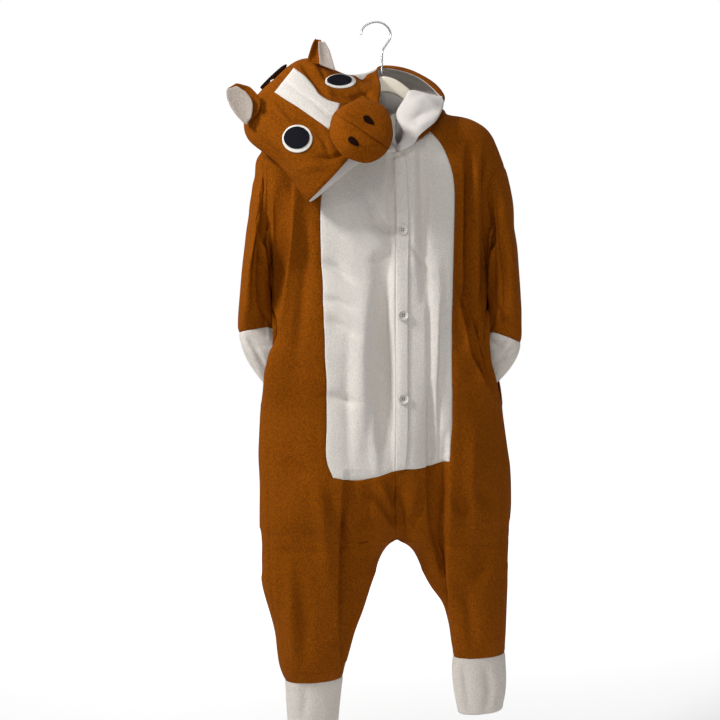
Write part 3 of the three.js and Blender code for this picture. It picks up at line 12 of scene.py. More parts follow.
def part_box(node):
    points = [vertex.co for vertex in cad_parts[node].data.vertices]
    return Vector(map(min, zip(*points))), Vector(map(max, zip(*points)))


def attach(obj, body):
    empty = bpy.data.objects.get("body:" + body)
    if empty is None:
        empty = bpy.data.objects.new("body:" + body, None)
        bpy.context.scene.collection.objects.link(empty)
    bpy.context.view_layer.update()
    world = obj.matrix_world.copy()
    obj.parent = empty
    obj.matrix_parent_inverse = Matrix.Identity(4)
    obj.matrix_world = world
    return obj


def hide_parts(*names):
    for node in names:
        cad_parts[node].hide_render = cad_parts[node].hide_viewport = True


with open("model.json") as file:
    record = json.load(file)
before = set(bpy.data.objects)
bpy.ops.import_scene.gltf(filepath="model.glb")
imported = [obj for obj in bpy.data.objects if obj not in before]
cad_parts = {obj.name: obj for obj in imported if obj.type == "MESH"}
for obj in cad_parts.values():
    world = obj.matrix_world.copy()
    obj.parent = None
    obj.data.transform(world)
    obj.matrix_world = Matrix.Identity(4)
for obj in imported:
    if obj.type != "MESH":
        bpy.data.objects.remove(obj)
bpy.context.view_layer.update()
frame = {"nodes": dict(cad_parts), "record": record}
nodes = frame["nodes"]

# ---- sizes, in metres ----
EYE = Vector((-0.0288, -1.450, -0.540))  # the camera, level and square to the hanger
PIXEL = 0.0016  # one pixel of the 720-pixel picture, at the hanger
PICTURE_MIDDLE = 360
FLEECE = 0.002  # thickness of the frame's suit panels
HOOD_FLEECE = 0.0015  # thickness of the frame's hood panels
MERGE_STEPS = 20000  # steps a metre to which corners are rounded to find the same ones
TINY = 1e-9  # shorter than this is no length at all
NO_CORNER = 3.0  # how bad a quad's corner counts where two of its points fall together
RIM_TOLERANCE = 0.000006  # how closely a rim edge measures the panel's thickness
JOIN = 0.0013  # panel edges nearer than this are sewn together in the net
WALL = 0.0016  # thickness of a finished panel
HOOD_WALL = 0.0013
LINING_WALL = 0.001
LINING_DEPTH = 0.0016  # how far the lining lies under the outside of the hood
SEWN_REACH = 0.012  # how near the hood's free edge is to the neckline it is sewn to
SEAM_DEPTH = 0.0012
SEAM_WIDTH = 0.004
STAGE_FLOOR = -1.45
STAGE_HALF = 12

# ---- how fine the cloth is and how it is evened out ----
LEVELS = 3
MUZZLE_LEVELS = 4
PLACKET_LEVELS = 3
RELAX = 6
AFTER_FOLDS = 1  # rounds once the folds are pressed in
HOOD_ROUNDS = 2
CROTCH_ROUNDS = 90
CROTCH_BAND = (-0.875, -0.800)
FIT_ROUNDS = 2  # how often the net is moved so that the finer mesh meets its corners
FIT_SHARE = 0.8  # how much of the miss is made up each time

# ---- how the folds of the tables below are pressed into the cloth ----
FOLD_SHARE = 1.8  # how strongly
FACING_FROM = 0.05  # how far cloth has to face the camera before a fold shows in it
FACING_OVER = 0.35  # over how much more of a turn the fold comes in
FOLD_ENDS = 0.04  # share of a fold that is cut off its tapered ends
STEP_EDGE = 2  # width in pixels of the edge of a step

# Soft waves over all the cloth: height in mm, waves a metre across and up, and a shift.
WAVES = [
    [1.5, 16, 5, 0],
    [0.5, 45, 18, 7],
]

SUIT = [
    "front_right", "front_left", "back_right", "back_left", "belly_right", "belly_left",
    "sleeve_right", "sleeve_left", "sleeve_cuff_right", "sleeve_cuff_left",
    "leg_cuff_right", "leg_cuff_left",
]
HOOD = ["hood_right", "hood_left"]

# Soft folds seen from the front: depth in mm (a trough is below zero), half width in pixels,
# then the fold's line in picture pixels.
FRONT_FOLDS = [
    [-5, 5, (421, 138), (424, 200), (425, 300)],
    [2.5, 5, (414, 150), (412, 200), (414, 270)],
    [-4.5, 3, (392, 150), (390, 197), (393, 227)],
    [-4, 4, (369, 196), (374, 214), (386, 226)],
    [-5, 4, (374, 222), (388, 229), (400, 232)],
    [3, 6, (360, 226), (376, 240), (390, 248)],
    [-3, 3, (392, 246), (384, 254), (372, 262)],
    [-3, 3, (410, 246), (418, 254), (428, 268)],
    [-3.5, 4, (322, 262), (336, 268), (352, 282)],
    [-3, 4, (323, 298), (338, 301), (354, 310)],
    [-3.5, 5, (326, 318), (340, 325), (356, 336)],
    [-3.5, 5, (328, 395), (342, 399), (356, 404)],
    [-7, 8, (382, 262), (387, 340), (384, 440)],
    [4, 8, (366, 290), (362, 360), (364, 440)],
    [-3, 6, (348, 340), (347, 400), (350, 470)],
    [3, 5, (376, 400), (374, 440), (377, 474)],
    [-3, 2.5, (429, 280), (430, 360), (429, 470)],
    [2.5, 5, (438, 260), (440, 340), (440, 450)],
    [-6, 4, (469, 150), (469, 240), (470, 330)],
    [4, 4, (477, 160), (477, 240), (478, 320)],
    [-6, 3, (486, 160), (486, 230), (485, 300)],
    [-3.5, 4, (459, 180), (460, 260), (458, 330)],
    [5, 6, (291, 200), (288, 260), (278, 326)],
    [-4, 6, (306, 210), (304, 280), (298, 350)],
    [-3, 3, (257, 170), (255, 250), (253, 318)],
    [2, 4, (263, 170), (262, 250), (261, 318)],
    [-3.5, 3, (499, 190), (503, 250), (506, 320)],
    [2.5, 4, (509, 200), (512, 260), (514, 322)],
    [-4, 3, (496, 308), (503, 318), (510, 330)],
    [-3, 2.5, (248, 340), (256, 350), (264, 364)],
    [-2.5, 2.5, (244, 350), (252, 366), (258, 380)],
    [-3.5, 2.5, (489, 340), (499, 346), (509, 342)],
    [-2.5, 2.5, (495, 364), (505, 357), (515, 346)],
    [-4, 9, (283, 458), (294, 470), (308, 480)],
    [-3, 8, (292, 528), (308, 538), (328, 548)],
    [-3.5, 6, (328, 486), (337, 515), (345, 546)],
    [3, 6, (318, 490), (324, 530), (328, 580)],
    [-4.5, 4, (403, 532), (388, 510), (364, 492)],
    [-4, 4, (402, 530), (396, 506), (391, 482)],
    [-3.5, 4, (408, 532), (420, 512), (427, 486)],
    [3, 5, (399, 522), (388, 500), (380, 484)],
    [-3, 5, (372, 484), (366, 520), (370, 560)],
    [-5, 7, (458, 496), (463, 507), (470, 516)],
    [-4, 6, (480, 486), (484, 495), (486, 506)],
    [-4, 8, (484, 548), (483, 564), (476, 584)],
    [-3, 6, (466, 590), (470, 620), (474, 650)],
    [3, 6, (474, 430), (472, 480), (474, 540)],
    [-3, 7, (300, 580), (306, 620), (304, 660)],
    [3, 6, (290, 560), (291, 620), (294, 670)],
    [-1.6, 1.3, (267, 432), (268, 500), (269, 560), (276, 640)],
    [-1.6, 1.3, (503, 440), (503, 500), (502, 560), (500, 640)],
    [-2, 5, (303, 684), (306, 700), (303, 718)],
    [-2, 5, (486, 668), (490, 690), (486, 712)],
    [-2, 5, (463, 664), (466, 690), (470, 712)],
]

# Places where the cloth folds over itself: depth of the step down in mm, the side it falls to
# (1 is the right), how far it takes to come back up in pixels, then the edge's line.
FRONT_STEPS = [
    [15, 1, 24, (346, 470), (343, 520), (342, 560), (341, 610), (342, 676)],
    [15, -1, 15, (449, 430), (447, 520), (445, 570), (447, 620), (452, 668)],
    [8, 1, 9, (429, 380), (429, 470), (430, 520), (437, 590)],
    [13, -1, 20, (293, 170), (288, 260), (275, 350)],
    [11, 1, 12, (458, 280), (474, 356), (498, 402)],
    [9, 1, 9, (470, 286), (484, 350), (496, 392)],
    [7, -1, 14, (395, 200), (391, 300), (393, 380), (394, 476)],
    [5, 1, 10, (440, 300), (438, 380), (438, 476)],
    [11, 1, 10, (467, 140), (466, 250), (468, 330)],
    [12, 1, 8, (484, 140), (485, 230), (487, 320)],
    [8, -1, 10, (264, 150), (266, 240), (268, 340)],
]

# The seam down the muzzle and the dents beside it.
MUZZLE_FOLDS = [
    [-2.4, 0.8, (333, 111), (362, 130), (391, 150)],
    [-1.2, 3, (340, 106), (364, 122), (388, 136)],
]

# Wrinkles of the hood's face, in the same way.
FACE_FOLDS = [
    [-3, 2.4, (303, 66), (314, 80), (327, 96)],
    [2.5, 3, (308, 62), (322, 76), (332, 94)],
    [-3, 2.4, (318, 66), (324, 78), (330, 86)],
    [-3, 2.4, (357, 84), (368, 92), (376, 106)],
    [-2.5, 2.2, (330, 94), (350, 99), (372, 90)],
    [-2.5, 2.2, (334, 100), (346, 104), (360, 100)],
    [-2.6, 3, (272, 96), (292, 118), (318, 136)],
    [-2.4, 3, (258, 108), (274, 116), (290, 128)],
    [-3, 3, (318, 158), (332, 158), (346, 152)],
    [-2.5, 2.5, (314, 126), (324, 140), (330, 156)],
    [-2.4, 4, (262, 138), (274, 152), (286, 168)],
    [-2.6, 3, (356, 70), (364, 78), (376, 80)],
    [2.2, 4, (300, 168), (314, 166), (330, 168)],
]


# ---- reading the frame's panels ----
def merged(node):
    """The node's corners, merged, and its triangles."""
    mesh = nodes[node].data
    index, corners, remap = {}, [], []
    for v in mesh.vertices:
        key = tuple(round(c * MERGE_STEPS) for c in v.co)
        if key not in index:
            index[key] = len(corners)
            corners.append(v.co.copy())
        remap.append(index[key])
    mesh.calc_loop_triangles()
    triangles = [tuple(remap[i] for i in t.vertices) for t in mesh.loop_triangles]
    return corners, [t for t in triangles if len(set(t)) == 3]


def skins(node, thickness):
    """A panel's two skins, each (corners, triangles): what is left when its narrow rim is taken off."""
    corners, triangles = merged(node)

    def is_rim(t):
        sides = [(corners[t[i]] - corners[t[i - 1]]).length for i in range(3)]
        return any(abs(s - thickness) < RIM_TOLERANCE for s in sides)

    rim = [t for t in triangles if is_rim(t)]
    kept = [t for t in triangles if not is_rim(t)]
    root = list(range(len(corners)))

    def find(i):
        while root[i] != i:
            root[i] = root[root[i]]
            i = root[i]
        return i

    for t in kept:
        root[find(t[0])] = find(t[1])
        root[find(t[1])] = find(t[2])
    kept += [t for t in rim if len({find(i) for i in t}) == 1]
    groups = defaultdict(list)
    for t in kept:
        groups[find(t[0])].append(t)
    largest = sorted(groups.values(), key=len, reverse=True)[:2]
    return [(corners, group) for group in largest]


def area_of(skin):
    """Twice the area of a skin."""
    corners, triangles = skin
    total = 0.0
    for a, b, c in triangles:
        total += (corners[b] - corners[a]).cross(corners[c] - corners[a]).length
    return total


def mean_depth(skin):
    corners, triangles = skin
    used = {i for t in triangles for i in t}
    return sum(corners[i].y for i in used) / len(used)


def away_from(skin, node):
    """How far a skin lies from another node's corners, on average."""
    tree = kdtree.KDTree(len(nodes[node].data.vertices))
    for i, v in enumerate(nodes[node].data.vertices):
        tree.insert(v.co, i)
    tree.balance()
    corners, triangles = skin
    used = {i for t in triangles for i in t}
    return sum(tree.find(corners[i])[2] for i in used) / len(used)


FRONT_PIECES = ("front", "belly", "placket", "blaze", "eye", "pupil", "nostril")


def outer_skin(node, thickness):
    """The skin that faces outwards: the front one, the back one or the larger one."""
    found = skins(node, thickness)
    if node.startswith(FRONT_PIECES):
        return min(found, key=mean_depth)
    if node.startswith("back"):
        return max(found, key=mean_depth)
    if node.startswith("hood"):
        return max(found, key=lambda s: away_from(s, node.replace("hood", "hood_lining")))
    return max(found, key=area_of)


def quads_of(corners, triangles):
    """Pairs triangles back into the four-sided faces they were cut from."""
    owners = defaultdict(list)
    for k, t in enumerate(triangles):
        for i in range(3):
            owners[frozenset((t[i], t[i - 1]))].append(k)
    pairs = {}
    for edge, pair in owners.items():
        if len(pair) != 2:
            continue
        a, b = pair
        first = triangles[a]
        other = next(i for i in triangles[b] if i not in edge)
        lone = next(i for i in first if i not in edge)
        at = first.index(lone)
        quad = (lone, first[(at + 1) % 3], other, first[(at + 2) % 3])
        bend = 0.0
        for i in range(4):
            p = corners[quad[i]]
            u = corners[quad[i - 1]] - p
            v = corners[quad[(i + 1) % 4]] - p
            if u.length < TINY or v.length < TINY:
                bend += NO_CORNER
            else:
                bend += abs(u.angle(v) - math.pi / 2)
        pairs[(a, b)] = (bend, quad)
    waiting = defaultdict(set)
    for key in pairs:
        waiting[key[0]].add(key)
        waiting[key[1]].add(key)
    faces = []
    done = set()

    def take(key):
        faces.append(pairs[key][1])
        for k in key:
            done.add(k)
            for pair in list(waiting[k]):
                waiting[pair[0]].discard(pair)
                waiting[pair[1]].discard(pair)

    order = sorted(pairs, key=lambda key: pairs[key][0])
    for key in order:
        if key not in waiting[key[0]]:
            continue
        take(key)
        forced = True
        while forced:
            near = {k for k in waiting if k not in done and len(waiting[k]) == 1}
            forced = bool(near)
            if forced:
                only = [next(iter(waiting[k])) for k in near]
                take(min(only, key=lambda q: pairs[q][0]))
    faces += [triangles[k] for k in range(len(triangles)) if k not in done]
    return faces


def net_of(names, thickness, join=JOIN):
    """One net of control faces through several panels: corners, faces and each face's panel."""
    points, faces, owners = [], [], []
    for number, name in enumerate(names):
        corners, triangles = outer_skin(name, thickness)
        used = sorted({i for t in triangles for i in t})
        index = {i: len(points) + k for k, i in enumerate(used)}
        points += [corners[i] for i in used]
        for face in quads_of(corners, triangles):
            faces.append([index[i] for i in face])
            owners.append(number)
    if join:
        tree = kdtree.KDTree(len(points))
        for i, p in enumerate(points):
            tree.insert(p, i)
        tree.balance()
        target = list(range(len(points)))
        for i, p in enumerate(points):
            for _, j, _ in tree.find_range(p, join):
                if j < target[i]:
                    target[i] = target[j]
        sums = defaultdict(list)
        for i, p in enumerate(points):
            sums[target[i]].append(p)
        points = [sum(sums[t], Vector()) / len(sums[t]) for t in target]
        faces = [[target[i] for i in face] for face in faces]
    return points, faces, owners


def mesh_from(name, points, faces, owners=None):
    """A mesh of the faces that have three corners or more, each marked with its panel."""
    mesh = bpy.data.meshes.new(name)
    used = sorted({i for f in faces for i in f})
    index = {i: k for k, i in enumerate(used)}
    clean = []
    kinds = []
    for n, f in enumerate(faces):
        ring = [index[i] for k, i in enumerate(f) if i != f[k - 1]]
        if len(set(ring)) >= 3 and len(set(ring)) == len(ring):
            clean.append(ring)
            kinds.append(owners[n] if owners else 0)
    mesh.from_pydata([points[i] for i in used], [], clean)
    mesh.polygons.foreach_set("material_index", kinds)
    mesh.update()
    return mesh


def smoothed(mesh, levels, corners_kept=False):
    """A finer mesh that passes close to the net's own corners."""
    obj = bpy.data.objects.new("net", mesh)
    bpy.context.scene.collection.objects.link(obj)
    for _ in range(max(p.material_index for p in mesh.polygons) + 1):
        obj.data.materials.append(None)
    mod = obj.modifiers.new("smooth", "SUBSURF")
    mod.levels = mod.render_levels = levels
    mod.boundary_smooth = "PRESERVE_CORNERS" if corners_kept else "ALL"
    wanted = [v.co.copy() for v in mesh.vertices]
    for _ in range(FIT_ROUNDS):
        bpy.context.view_layer.update()
        seen = obj.evaluated_get(bpy.context.evaluated_depsgraph_get()).data
        moves = [wanted[i] - seen.vertices[i].co for i in range(len(wanted))]
        for i, v in enumerate(mesh.vertices):
            v.co += moves[i] * FIT_SHARE
        mesh.update()
    bpy.context.view_layer.update()
    graph = bpy.context.evaluated_depsgraph_get()
    fine = bpy.data.meshes.new_from_object(obj.evaluated_get(graph))
    bpy.data.objects.remove(obj)
    return fine


# ---- folds ----
def in_picture(p):
    """Where a point shows in the 720-pixel picture."""
    k = EYE.y / (EYE.y - p.y)
    x = PICTURE_MIDDLE + (p.x - EYE.x) * k / PIXEL
    y = PICTURE_MIDDLE - (p.z - EYE.z) * k / PIXEL
    return Vector((x, y))


def along(line, p):
    """Distance from p to a line of points, and how far along it the nearest point is, 0 to 1."""
    best = (1e9, 0.0)
    total = sum((b - a).length for a, b in zip(line, line[1:]))
    gone = 0.0
    for a, b in zip(line, line[1:]):
        d = b - a
        t = min(1.0, max(0.0, (p - a).dot(d) / d.length_squared))
        away = (p - a - d * t).length
        if away < best[0]:
            best = (away, (gone + t * d.length) / total)
        gone += d.length
    return best


# Dents in the white lapel that the hood's free edge turns out.
LAPEL_FOLDS = [
    [-3, 4, (412, 120), (422, 113), (434, 111)],
    [2.5, 4, (412, 104), (424, 101), (438, 107)],
    [-2.5, 3, (407, 128), (411, 135), (415, 143)],
    [2, 3, (417, 130), (426, 123), (436, 118)],
]


def faced(normal):
    """How much cloth with this normal shows a fold, 0 to 1."""
    return min(1.0, max(0.0, (-normal.y - FACING_FROM) / FACING_OVER))


def near_line(spot, line, reach):
    """Whether a place in the picture is inside the line's box, widened by a reach."""
    xs = [q[0] for q in line]
    ys = [q[1] for q in line]
    inside_x = min(xs) - reach < spot.x < max(xs) + reach
    return inside_x and min(ys) - reach < spot.y < max(ys) + reach


def fold_move(p, normal, table):
    """Millimetres that the folds of a table lift the cloth at p."""
    facing = faced(normal)
    if facing == 0:
        return 0.0
    spot = in_picture(p)
    lift = 0.0
    for depth, half, *line in table:
        if near_line(spot, line, 3 * half):
            away, share = along([Vector(q) for q in line], spot)
            taper = math.sin(math.pi * (FOLD_ENDS + (1 - 2 * FOLD_ENDS) * share)) ** 0.6
            lift += depth * math.exp(-((away / half) ** 2)) * taper
    return lift * facing


def step_move(p, normal, table):
    """Millimetres that the overlapping edges of a table lower the cloth at p."""
    facing = faced(normal)
    if facing == 0:
        return 0.0
    spot = in_picture(p)
    drop = 0.0
    for depth, side, reach, *line in table:
        low, high = line[0][1], line[-1][1]
        if not low < spot.y < high:
            continue
        for (ax, ay), (bx, by) in zip(line, line[1:]):
            if ay <= spot.y <= by:
                past = (spot.x - ax - (bx - ax) * (spot.y - ay) / (by - ay)) * side
                if -3 < past < 4 * reach:
                    edge = min(1.0, max(0.0, past / STEP_EDGE + 0.5))
                    rise = edge * edge * (3 - 2 * edge)
                    taper = math.sin(math.pi * (spot.y - low) / (high - low)) ** 0.7
                    drop += depth * rise * math.exp(-max(0, past) / reach) * taper
                break
    return -drop * facing


def drape_move(p):
    """Millimetres of soft, mostly upright waves over all the cloth."""
    lift = 0.0
    for height, across, up, shift in WAVES:
        lift += height * noise.noise(Vector((p.x * across, p.y * across, p.z * up + shift)))
    return lift


def folded(mesh, folds, steps=(), share=1.0, side=1):
    """Presses folds and a share of the soft waves into the cloth.
    A side of -1 takes the cloth's other side as the one that is seen."""
    normals = [v.normal * side for v in mesh.vertices]
    for v, n in zip(mesh.vertices, normals):
        lift = FOLD_SHARE * (fold_move(v.co, n, folds) + step_move(v.co, n, steps))
        lift += share * drape_move(v.co)
        v.co += n * (lift / 1000)
    mesh.update()


def edges_of(mesh):
    """How many faces use each edge."""
    uses = defaultdict(int)
    for f in mesh.polygons:
        for key in f.edge_keys:
            uses[key] += 1
    return uses


def rim_of(mesh):
    """The points on the free edges."""
    return sorted({i for key, n in edges_of(mesh).items() if n == 1 for i in key})


def relaxed(mesh, rounds, band=None):
    """Evens out the cloth, free edges aside: each point moves towards its neighbours' middle.
    A band keeps this to the points between two heights."""
    places = np.array([v.co for v in mesh.vertices])
    ends = np.array(list(edges_of(mesh)))
    free = np.ones(len(places), dtype=bool)
    free[rim_of(mesh)] = False
    if band:
        free &= (places[:, 2] > band[0]) & (places[:, 2] < band[1])
    one = np.concatenate([ends[:, 0], ends[:, 1]])
    other = np.concatenate([ends[:, 1], ends[:, 0]])
    count = np.maximum(1, np.bincount(one, minlength=len(places)))
    for _ in range(rounds):
        for axis in range(3):
            total = np.bincount(one, weights=places[other, axis], minlength=len(places))
            middle = total / count
            places[free, axis] = (places[free, axis] + middle[free]) / 2
    mesh.vertices.foreach_set("co", places.ravel())
    mesh.update()


# Where a sleeve hangs close behind the side of the body: the line's x and its highest, middle and
# lowest y in the picture, the way to the body, and the reach in pixels.
CLOSE_SLEEVES = [
    [266.5, 225, 290, 352, 1, 9],
    [489.5, 225, 285, 345, -1, 9],
]
SLEEVE_MOVE = 0.008  # how far the sleeve moves to the body
BODY_MOVE = 0.0035  # how far the body moves to the sleeve


def tucked(mesh):
    """Brings each sleeve's inner side and the side of the body together where they touch."""
    sleeve = set()
    body = set()
    for f in mesh.polygons:
        kind = SUIT[f.material_index]
        (sleeve if kind.startswith("sleeve") else body).update(f.vertices)
    for v in mesh.vertices:
        spot = in_picture(v.co)
        for x, top, middle, low, way, reach in CLOSE_SLEEVES:
            if not (top < spot.y < low and abs(spot.x - x) < 3 * reach):
                continue
            end = top if spot.y < middle else low
            height = (spot.y - end) / (middle - end)
            share = math.exp(-(((spot.x - x) / reach) ** 2)) * math.sin(height * math.pi / 2)
            if v.index in sleeve and v.index not in body:
                v.co.x += way * SLEEVE_MOVE * share
            elif v.index in body and v.index not in sleeve:
                v.co.x -= way * BODY_MOVE * share
    mesh.update()


# The seam of the cuff on the wearer's right leg sits a little higher than in the frame.
HEM = {"x": -0.05, "z": -1.056, "reach": 0.035, "rise": 0.009}


def hem_raised(mesh):
    """Slides the cloth up round the seam between the leg and its cuff."""
    for v in mesh.vertices:
        if v.co.x < HEM["x"]:
            v.co.z += HEM["rise"] * math.exp(-(((v.co.z - HEM["z"]) / HEM["reach"]) ** 2))
    mesh.update()


def seam_tree(mesh):
    """A search tree of the points along the lines where panels meet."""
    kinds = defaultdict(set)
    for f in mesh.polygons:
        for key in f.edge_keys:
            kinds[key].add(f.material_index)
    line = {key for key in kinds if len(kinds[key]) > 1}
    tree = kdtree.KDTree(max(1, 3 * len(line)))
    number = 0
    for a, b in line:
        for t in (0, 1 / 3, 2 / 3):
            tree.insert(mesh.vertices[a].co.lerp(mesh.vertices[b].co, t), number)
            number += 1
    tree.balance()
    return tree


def seamed(mesh):
    """Pulls the cloth in along the seams."""
    tree = seam_tree(mesh)
    normals = [v.normal.copy() for v in mesh.vertices]
    for v, n in zip(mesh.vertices, normals):
        away = tree.find(v.co)[2]
        if away is not None and away < 4 * SEAM_WIDTH:
            v.co -= n * SEAM_DEPTH * math.exp(-((away / SEAM_WIDTH) ** 2))
    mesh.update()


def sewn(mesh, other, reach):
    """Brings the free edge of one cloth to the free edge of another where they are near."""
    edge = rim_of(other)
    tree = kdtree.KDTree(len(edge))
    for i in edge:
        tree.insert(other.vertices[i].co, i)
    tree.balance()
    for i in rim_of(mesh):
        near, _, away = tree.find(mesh.vertices[i].co)
        if away < reach:
            mesh.vertices[i].co = near
    mesh.update()


def piece_of(mesh, number, name, wall, lower=0.0):
    """One panel of a smoothed net, or all of it, as its own walled object."""
    chosen = [f for f in mesh.polygons if number is None or f.material_index == number]
    faces = [list(f.vertices) for f in chosen]
    used = sorted({i for f in faces for i in f})
    index = {i: k for k, i in enumerate(used)}
    points = [mesh.vertices[i].co - mesh.vertices[i].normal * lower for i in used]
    own = bpy.data.meshes.new(name)
    own.from_pydata(points, [], [[index[i] for i in f] for f in faces])
    own.update()
    obj = bpy.data.objects.new(name, own)
    bpy.context.scene.collection.objects.link(obj)
    if wall:
        mod = obj.modifiers.new("wall", "SOLIDIFY")
        mod.thickness = wall
        mod.offset = -1
        bpy.context.view_layer.update()
        graph = bpy.context.evaluated_depsgraph_get()
        obj.data = bpy.data.meshes.new_from_object(obj.evaluated_get(graph))
        obj.modifiers.clear()
    obj.data.materials.clear()
    obj.data.polygons.foreach_set("use_smooth", [True] * len(obj.data.polygons))
    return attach(obj, "root")


# ---- materials ----
CLOTH_SHINE = 0.06  # how far cloth mirrors light
HARD_SHINE = 0.5  # and plastic or steel
HARD_ROUGH = 0.6  # what is smoother than this is plastic or steel
TONE = {"scale": 460, "detail": 3, "roughness": 0.6, "dark": 0.34, "light": 0.66}
SHEEN_ROUGHNESS = 0.45
NAP_DETAIL = 3
BUMP_STRENGTH = 0.8


def material(name, colour, rough=0.9, sheen=0.0, grain=(), tone=0.12, metal=0.0, coat=0.0):
    """A colour that wanders by tone, with grain rows of scale a metre and height in mm."""
    mat = bpy.data.materials.new(name)
    mat.use_nodes = True
    tree = mat.node_tree
    shader = tree.nodes["Principled BSDF"]
    shader.inputs["Roughness"].default_value = rough
    shader.inputs["Metallic"].default_value = metal
    shine = HARD_SHINE if rough < HARD_ROUGH else CLOTH_SHINE
    shader.inputs["Specular IOR Level"].default_value = shine
    shader.inputs["Sheen Weight"].default_value = sheen
    shader.inputs["Sheen Roughness"].default_value = SHEEN_ROUGHNESS
    shader.inputs["Sheen Tint"].default_value = (*colour, 1)
    shader.inputs["Coat Weight"].default_value = coat
    where = tree.nodes.new("ShaderNodeTexCoord").outputs["Object"]
    broad = tree.nodes.new("ShaderNodeTexNoise")
    broad.inputs["Scale"].default_value = TONE["scale"]
    broad.inputs["Detail"].default_value = TONE["detail"]
    broad.inputs["Roughness"].default_value = TONE["roughness"]
    tree.links.new(where, broad.inputs["Vector"])
    ramp = tree.nodes.new("ShaderNodeValToRGB")
    dark, light = ramp.color_ramp.elements
    dark.position = TONE["dark"]
    light.position = TONE["light"]
    dark.color = (*[c * (1 - tone) for c in colour], 1)
    light.color = (*[min(1, c * (1 + tone)) for c in colour], 1)
    tree.links.new(broad.outputs["Fac"], ramp.inputs["Fac"])
    tree.links.new(ramp.outputs["Color"], shader.inputs["Base Color"])
    normal = None
    for scale, height in grain:
        nap = tree.nodes.new("ShaderNodeTexNoise")
        nap.inputs["Scale"].default_value = scale
        nap.inputs["Detail"].default_value = NAP_DETAIL
        tree.links.new(where, nap.inputs["Vector"])
        bump = tree.nodes.new("ShaderNodeBump")
        bump.inputs["Distance"].default_value = height / 1000
        bump.inputs["Strength"].default_value = BUMP_STRENGTH
        tree.links.new(nap.outputs["Fac"], bump.inputs["Height"])
        if normal:
            tree.links.new(normal, bump.inputs["Normal"])
        normal = bump.outputs["Normal"]
    if normal:
        tree.links.new(normal, shader.inputs["Normal"])
    return mat


def linear(r, g, b):
    """A colour as the eye reads it, 0 to 255, as light."""
    return tuple((c / 255) ** 2.2 for c in (r, g, b))


NAP = [(900, 1.2), (400, 1.2)]
MATERIALS = {
    "brown_fleece": material("brown_fleece", linear(132, 71, 13), 0.97, 0.2, NAP, 0.3),
    "white_fleece": material("white_fleece", linear(226, 220, 212), 0.97, 0.15, NAP, 0.08),
    "cuff_fleece": material("cuff_fleece", linear(222, 214, 205), 0.97, 0.15, NAP, 0.1),
    "lining": material("lining", linear(214, 208, 203), 0.85, 0.1, [(2400, 0.2)], 0.04),
    "eye_white": material("eye_white", linear(230, 226, 218), 0.9, 0.15, [(1500, 0.3)], 0.04),
    # Inner ears: near-white fleece painted darker, painted shade of the cupped ear.
    "ear_fleece": material("ear_fleece", linear(176, 164, 154), 0.97, 0.15, NAP, 0.1),
    "pupil": material("pupil", linear(30, 30, 36), 0.85, 0.1, [(1500, 0.3)], 0.1),
    "nostril": material("nostril", linear(34, 18, 10), 0.9, 0.1, [(1500, 0.3)], 0.1),
    "mane": material("mane", linear(38, 24, 16), 0.95, 0.3, [(900, 1.2)], 0.2),
    "button": material("button", linear(206, 200, 192), 0.35, 0, [], 0.04, coat=0.3),
    "hanger": material("hanger", linear(244, 233, 214), 0.42, 0, [(300, 0.05)], 0.03, coat=0.15),
    "hook_steel": material("hook_steel", linear(190, 190, 192), 0.22, 0, [(900, 0.01)], 0.03, metal=1),
    "thread_brown": material("thread_brown", linear(92, 46, 14), 0.8, 0.2, [(3000, 0.1)], 0.1),
    "thread_white": material("thread_white", linear(222, 216, 206), 0.8, 0.2, [(3000, 0.1)], 0.05),
}
SLOTS = {s["node"]: s["material_slot"] for s in frame["record"]["subparts"]}


def dressed(obj, slot, *replaced):
    """The object in its material, standing for the frame's nodes named after it."""
    obj.data.materials.append(MATERIALS[slot])
    slot in {m["slot"] for m in frame["record"]["materials"]}
    if replaced:
        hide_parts(*replaced)
    return obj


# ---- the suit: body, legs, sleeves and cuffs from one net ----
points, faces, owners = net_of(SUIT, FLEECE)
suit = smoothed(mesh_from("suit", points, faces, owners), LEVELS)
relaxed(suit, RELAX)
relaxed(suit, CROTCH_ROUNDS, CROTCH_BAND)
tucked(suit)
hem_raised(suit)
folded(suit, FRONT_FOLDS, FRONT_STEPS)
relaxed(suit, AFTER_FOLDS)
seamed(suit)
made = {}
for number, name in enumerate(SUIT):
    piece = piece_of(suit, number, "cloth_" + name, WALL)
    made[name] = dressed(piece, SLOTS[name], name)

# ---- the hood and its lining ----
points, faces, owners = net_of(HOOD, HOOD_FLEECE)
hood = smoothed(mesh_from("hood", points, faces, owners), LEVELS)
relaxed(hood, HOOD_ROUNDS)
folded(hood, FACE_FOLDS, share=0.5)
folded(hood, LAPEL_FOLDS, share=0, side=-1)
seamed(hood)
sewn(hood, suit, SEWN_REACH)
for number, name in enumerate(HOOD):
    piece = piece_of(hood, number, "cloth_" + name, HOOD_WALL)
    made[name] = dressed(piece, SLOTS[name], name)
    inner = name.replace("hood", "hood_lining")
    piece = piece_of(hood, number, "cloth_" + inner, LINING_WALL, LINING_DEPTH)
    made[inner] = dressed(piece, "lining", inner)


# ---- pieces laid on cloth ----
RAY_START = 0.025  # how far in front of the cloth the search for it starts
RAY_LENGTH = 0.06
LAID_LEVELS = 2


def surface_of(*objs):
    """A search tree over the outside of some objects."""
    corners, faces = [], []
    for obj in objs:
        start = len(corners)
        corners += [v.co.copy() for v in obj.data.vertices]
        faces += [[start + i for i in f.vertices] for f in obj.data.polygons]
    return BVHTree.FromPolygons(corners, faces)


